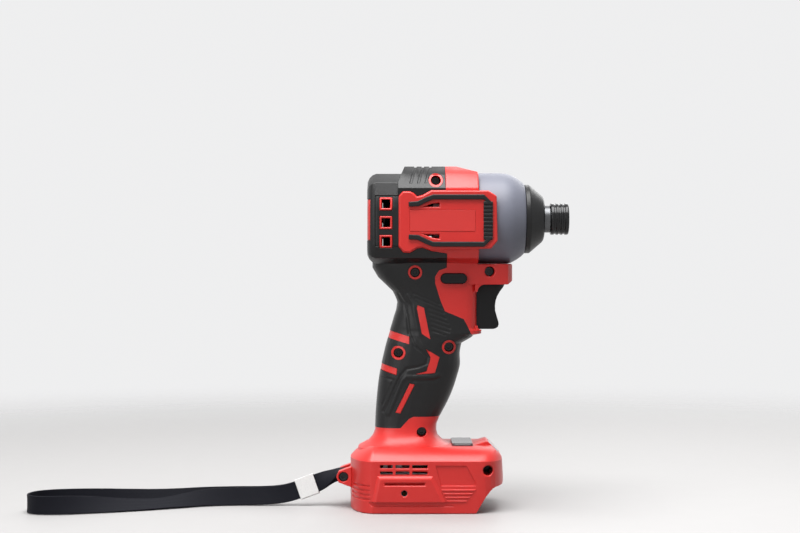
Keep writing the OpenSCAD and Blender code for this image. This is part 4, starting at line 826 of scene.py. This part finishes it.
class DRIVER_OT_grip_skin(bpy.types.Operator):
    """Finishes the soft skin of the head and the grip"""

    bl_idname = "driver.grip_skin"
    bl_label = "Soft skin"

    def execute(self, context):
        sizes = context.scene.driver_sizes
        for side, out in (("left", 1), ("right", -1)):
            bm = merged_copy("grip_skin_" + side)
            bmesh.ops.dissolve_degenerate(bm, dist=0.00006, edges=bm.edges)
            bmesh.ops.triangulate(bm, faces=bm.faces)
            rounded(bm, lambda f: abs(f.normal.x) > 0.55 and faces_out(f), sizes.skin_step * 4)
            outer = split_long(bm, lambda f: f.normal.y * out > 0.3 and faces_out(f), sizes.skin_step)
            bm.normal_update()
            even_out(bm, outer, lambda v: v.normal.y * out > 0.8)
            mark_sharp(bm, 34.0)
            verts = list({v for f in outer for v in f.verts})
            lift = line_heights(np.array([v.co for v in verts])) * sizes.relief
            for vert, height in zip(verts, lift):
                vert.co += vert.normal * (height * max(0.0, vert.normal.y * out))
            eased(placed(f"grip_skin_{side}_finished", bm, "rubber", "grip_skin_" + side), 0.0003)
        return {"FINISHED"}


class DRIVER_OT_side_panel(bpy.types.Operator):
    """Finishes the rubber trims and the bare label films on the sides"""

    bl_idname = "driver.side_panel"
    bl_label = "Side trims and labels"

    def execute(self, context):
        for side in ("left", "right"):
            dressed("side_trim_" + side, "rubber", 0.0005, 3)
            dressed("rating_label_" + side, "label", 0.00008)
        return {"FINISHED"}


class DRIVER_OT_nose(bpy.types.Operator):
    """Finishes the hammer case, its cover, the bumper and the bush"""

    bl_idname = "driver.nose"
    bl_label = "Hammer case and nose"

    def execute(self, context):
        dressed("case_cover", "cover", 0.0004)
        dressed("nose_bumper", "rubber", 0.0004)
        dressed("hammer_case", "alloy", 0.0002)
        dressed("nose_bush", "dark steel", 0.0002)
        return {"FINISHED"}


class DRIVER_OT_chuck(bpy.types.Operator):
    """Finishes the anvil, the bit sleeve and what holds the bit"""

    bl_idname = "driver.chuck"
    bl_label = "Hex chuck"

    def execute(self, context):
        dressed("anvil", "steel", 0.00025)
        dressed("bit_sleeve", "black steel", 0.0002)
        dressed("sleeve_ring", "steel", 0.00015)
        sprung("sleeve_spring", 0.00035, 3)
        painted("steel", "bit_balls")
        return {"FINISHED"}


class DRIVER_OT_controls(bpy.types.Operator):
    """Finishes the trigger, the direction lever and the switch"""

    bl_idname = "driver.controls"
    bl_label = "Trigger and lever"

    def execute(self, context):
        dressed("trigger", "plastic", 0.0007, 3)
        dressed("direction_lever", "plastic", 0.0006, 3)
        dressed("switch_body", "plastic", 0.0003)
        sprung("trigger_spring", 0.0005, 5)
        return {"FINISHED"}


class DRIVER_OT_foot_parts(bpy.types.Operator):
    """Finishes the panel, the lamp, the terminals and the electronics in the foot"""

    bl_idname = "driver.foot_parts"
    bl_label = "Foot pieces"

    def execute(self, context):
        dressed("mode_panel", "panel", 0.0004, 3)
        dressed("lamp_lens", "lens", 0.0003)
        dressed("terminal_block", "plastic", 0.0003)
        dressed("terminal_blades", "bronze", 0.00008)
        dressed("hook_inserts", "dark steel", 0.0001)
        dressed("control_tray", "alloy", 0.0002)
        dressed("control_board", "board", 0.0001)
        dressed("lamp_board", "board", 0.00008)
        painted("wire", "wire_loom")
        return {"FINISHED"}


class DRIVER_OT_works(bpy.types.Operator):
    """Finishes the motor, the gears and the impact mechanism"""

    bl_idname = "driver.works"
    bl_label = "Motor and gears"

    def execute(self, context):
        for name in ("hammer", "spindle", "ring_gear", "planet_gear_1", "planet_gear_2", "planet_gear_3"):
            dressed(name, "dark steel", 0.0001)
        for name in ("sun_pinion", "planet_pins", "carrier_bearing", "front_bearing", "rear_bearing", "rotor_shaft"):
            dressed(name, "steel", 0.0001)
        for name in ("rotor_core", "rotor_magnets", "stator_core"):
            dressed(name, "dark steel", 0.0001)
        dressed("gear_plate", "alloy", 0.0002)
        dressed("stator_coils", "copper", 0.0006, 3)
        dressed("sensor_board", "board", 0.0001)
        dressed("cooling_fan", "plastic", 0.0001)
        sprung("hammer_spring", 0.00135, 4)
        painted("steel", "cam_balls")
        return {"FINISHED"}


class DRIVER_OT_fasteners(bpy.types.Operator):
    """Finishes the housing screws"""

    bl_idname = "driver.fasteners"
    bl_label = "Screws"

    def execute(self, context):
        dressed("housing_screws", "black steel", 0.00015)
        return {"FINISHED"}


PIECES = (DRIVER_OT_stage, DRIVER_OT_wrist_strap, DRIVER_OT_housing, DRIVER_OT_grip_skin, DRIVER_OT_side_panel,
          DRIVER_OT_nose, DRIVER_OT_chuck, DRIVER_OT_controls, DRIVER_OT_foot_parts, DRIVER_OT_works,
          DRIVER_OT_fasteners)


class DRIVER_PT_sidebar(bpy.types.Panel):
    """Lists the driver's sizes, colours and pieces"""

    bl_idname = "DRIVER_PT_sidebar"
    bl_label = "Impact driver"
    bl_space_type = "VIEW_3D"
    bl_region_type = "UI"
    bl_category = "Driver"

    def draw(self, context):
        for group in (context.scene.driver_colours, context.scene.driver_sizes, context.scene.driver_stage):
            box = self.layout.box()
            for name in group.__annotations__:
                box.prop(group, name)
        for piece in PIECES:
            self.layout.operator(piece.bl_idname)


GROUP_CLASSES = (DriverColours, DriverSizes, DriverStage)


def register():
    for made in GROUP_CLASSES + PIECES + (DRIVER_PT_sidebar,):
        bpy.utils.register_class(made)
    bpy.types.Scene.driver_colours = PointerProperty(type=DriverColours)
    bpy.types.Scene.driver_sizes = PointerProperty(type=DriverSizes)
    bpy.types.Scene.driver_stage = PointerProperty(type=DriverStage)


def unregister():
    del bpy.types.Scene.driver_stage
    del bpy.types.Scene.driver_sizes
    del bpy.types.Scene.driver_colours
    for made in reversed(GROUP_CLASSES + PIECES + (DRIVER_PT_sidebar,)):
        bpy.utils.unregister_class(made)


def main():
    register()
    for piece in PIECES:
        family, action = piece.bl_idname.split(".")
        getattr(getattr(bpy.ops, family), action)()


if __name__ == "__main__":
    main()
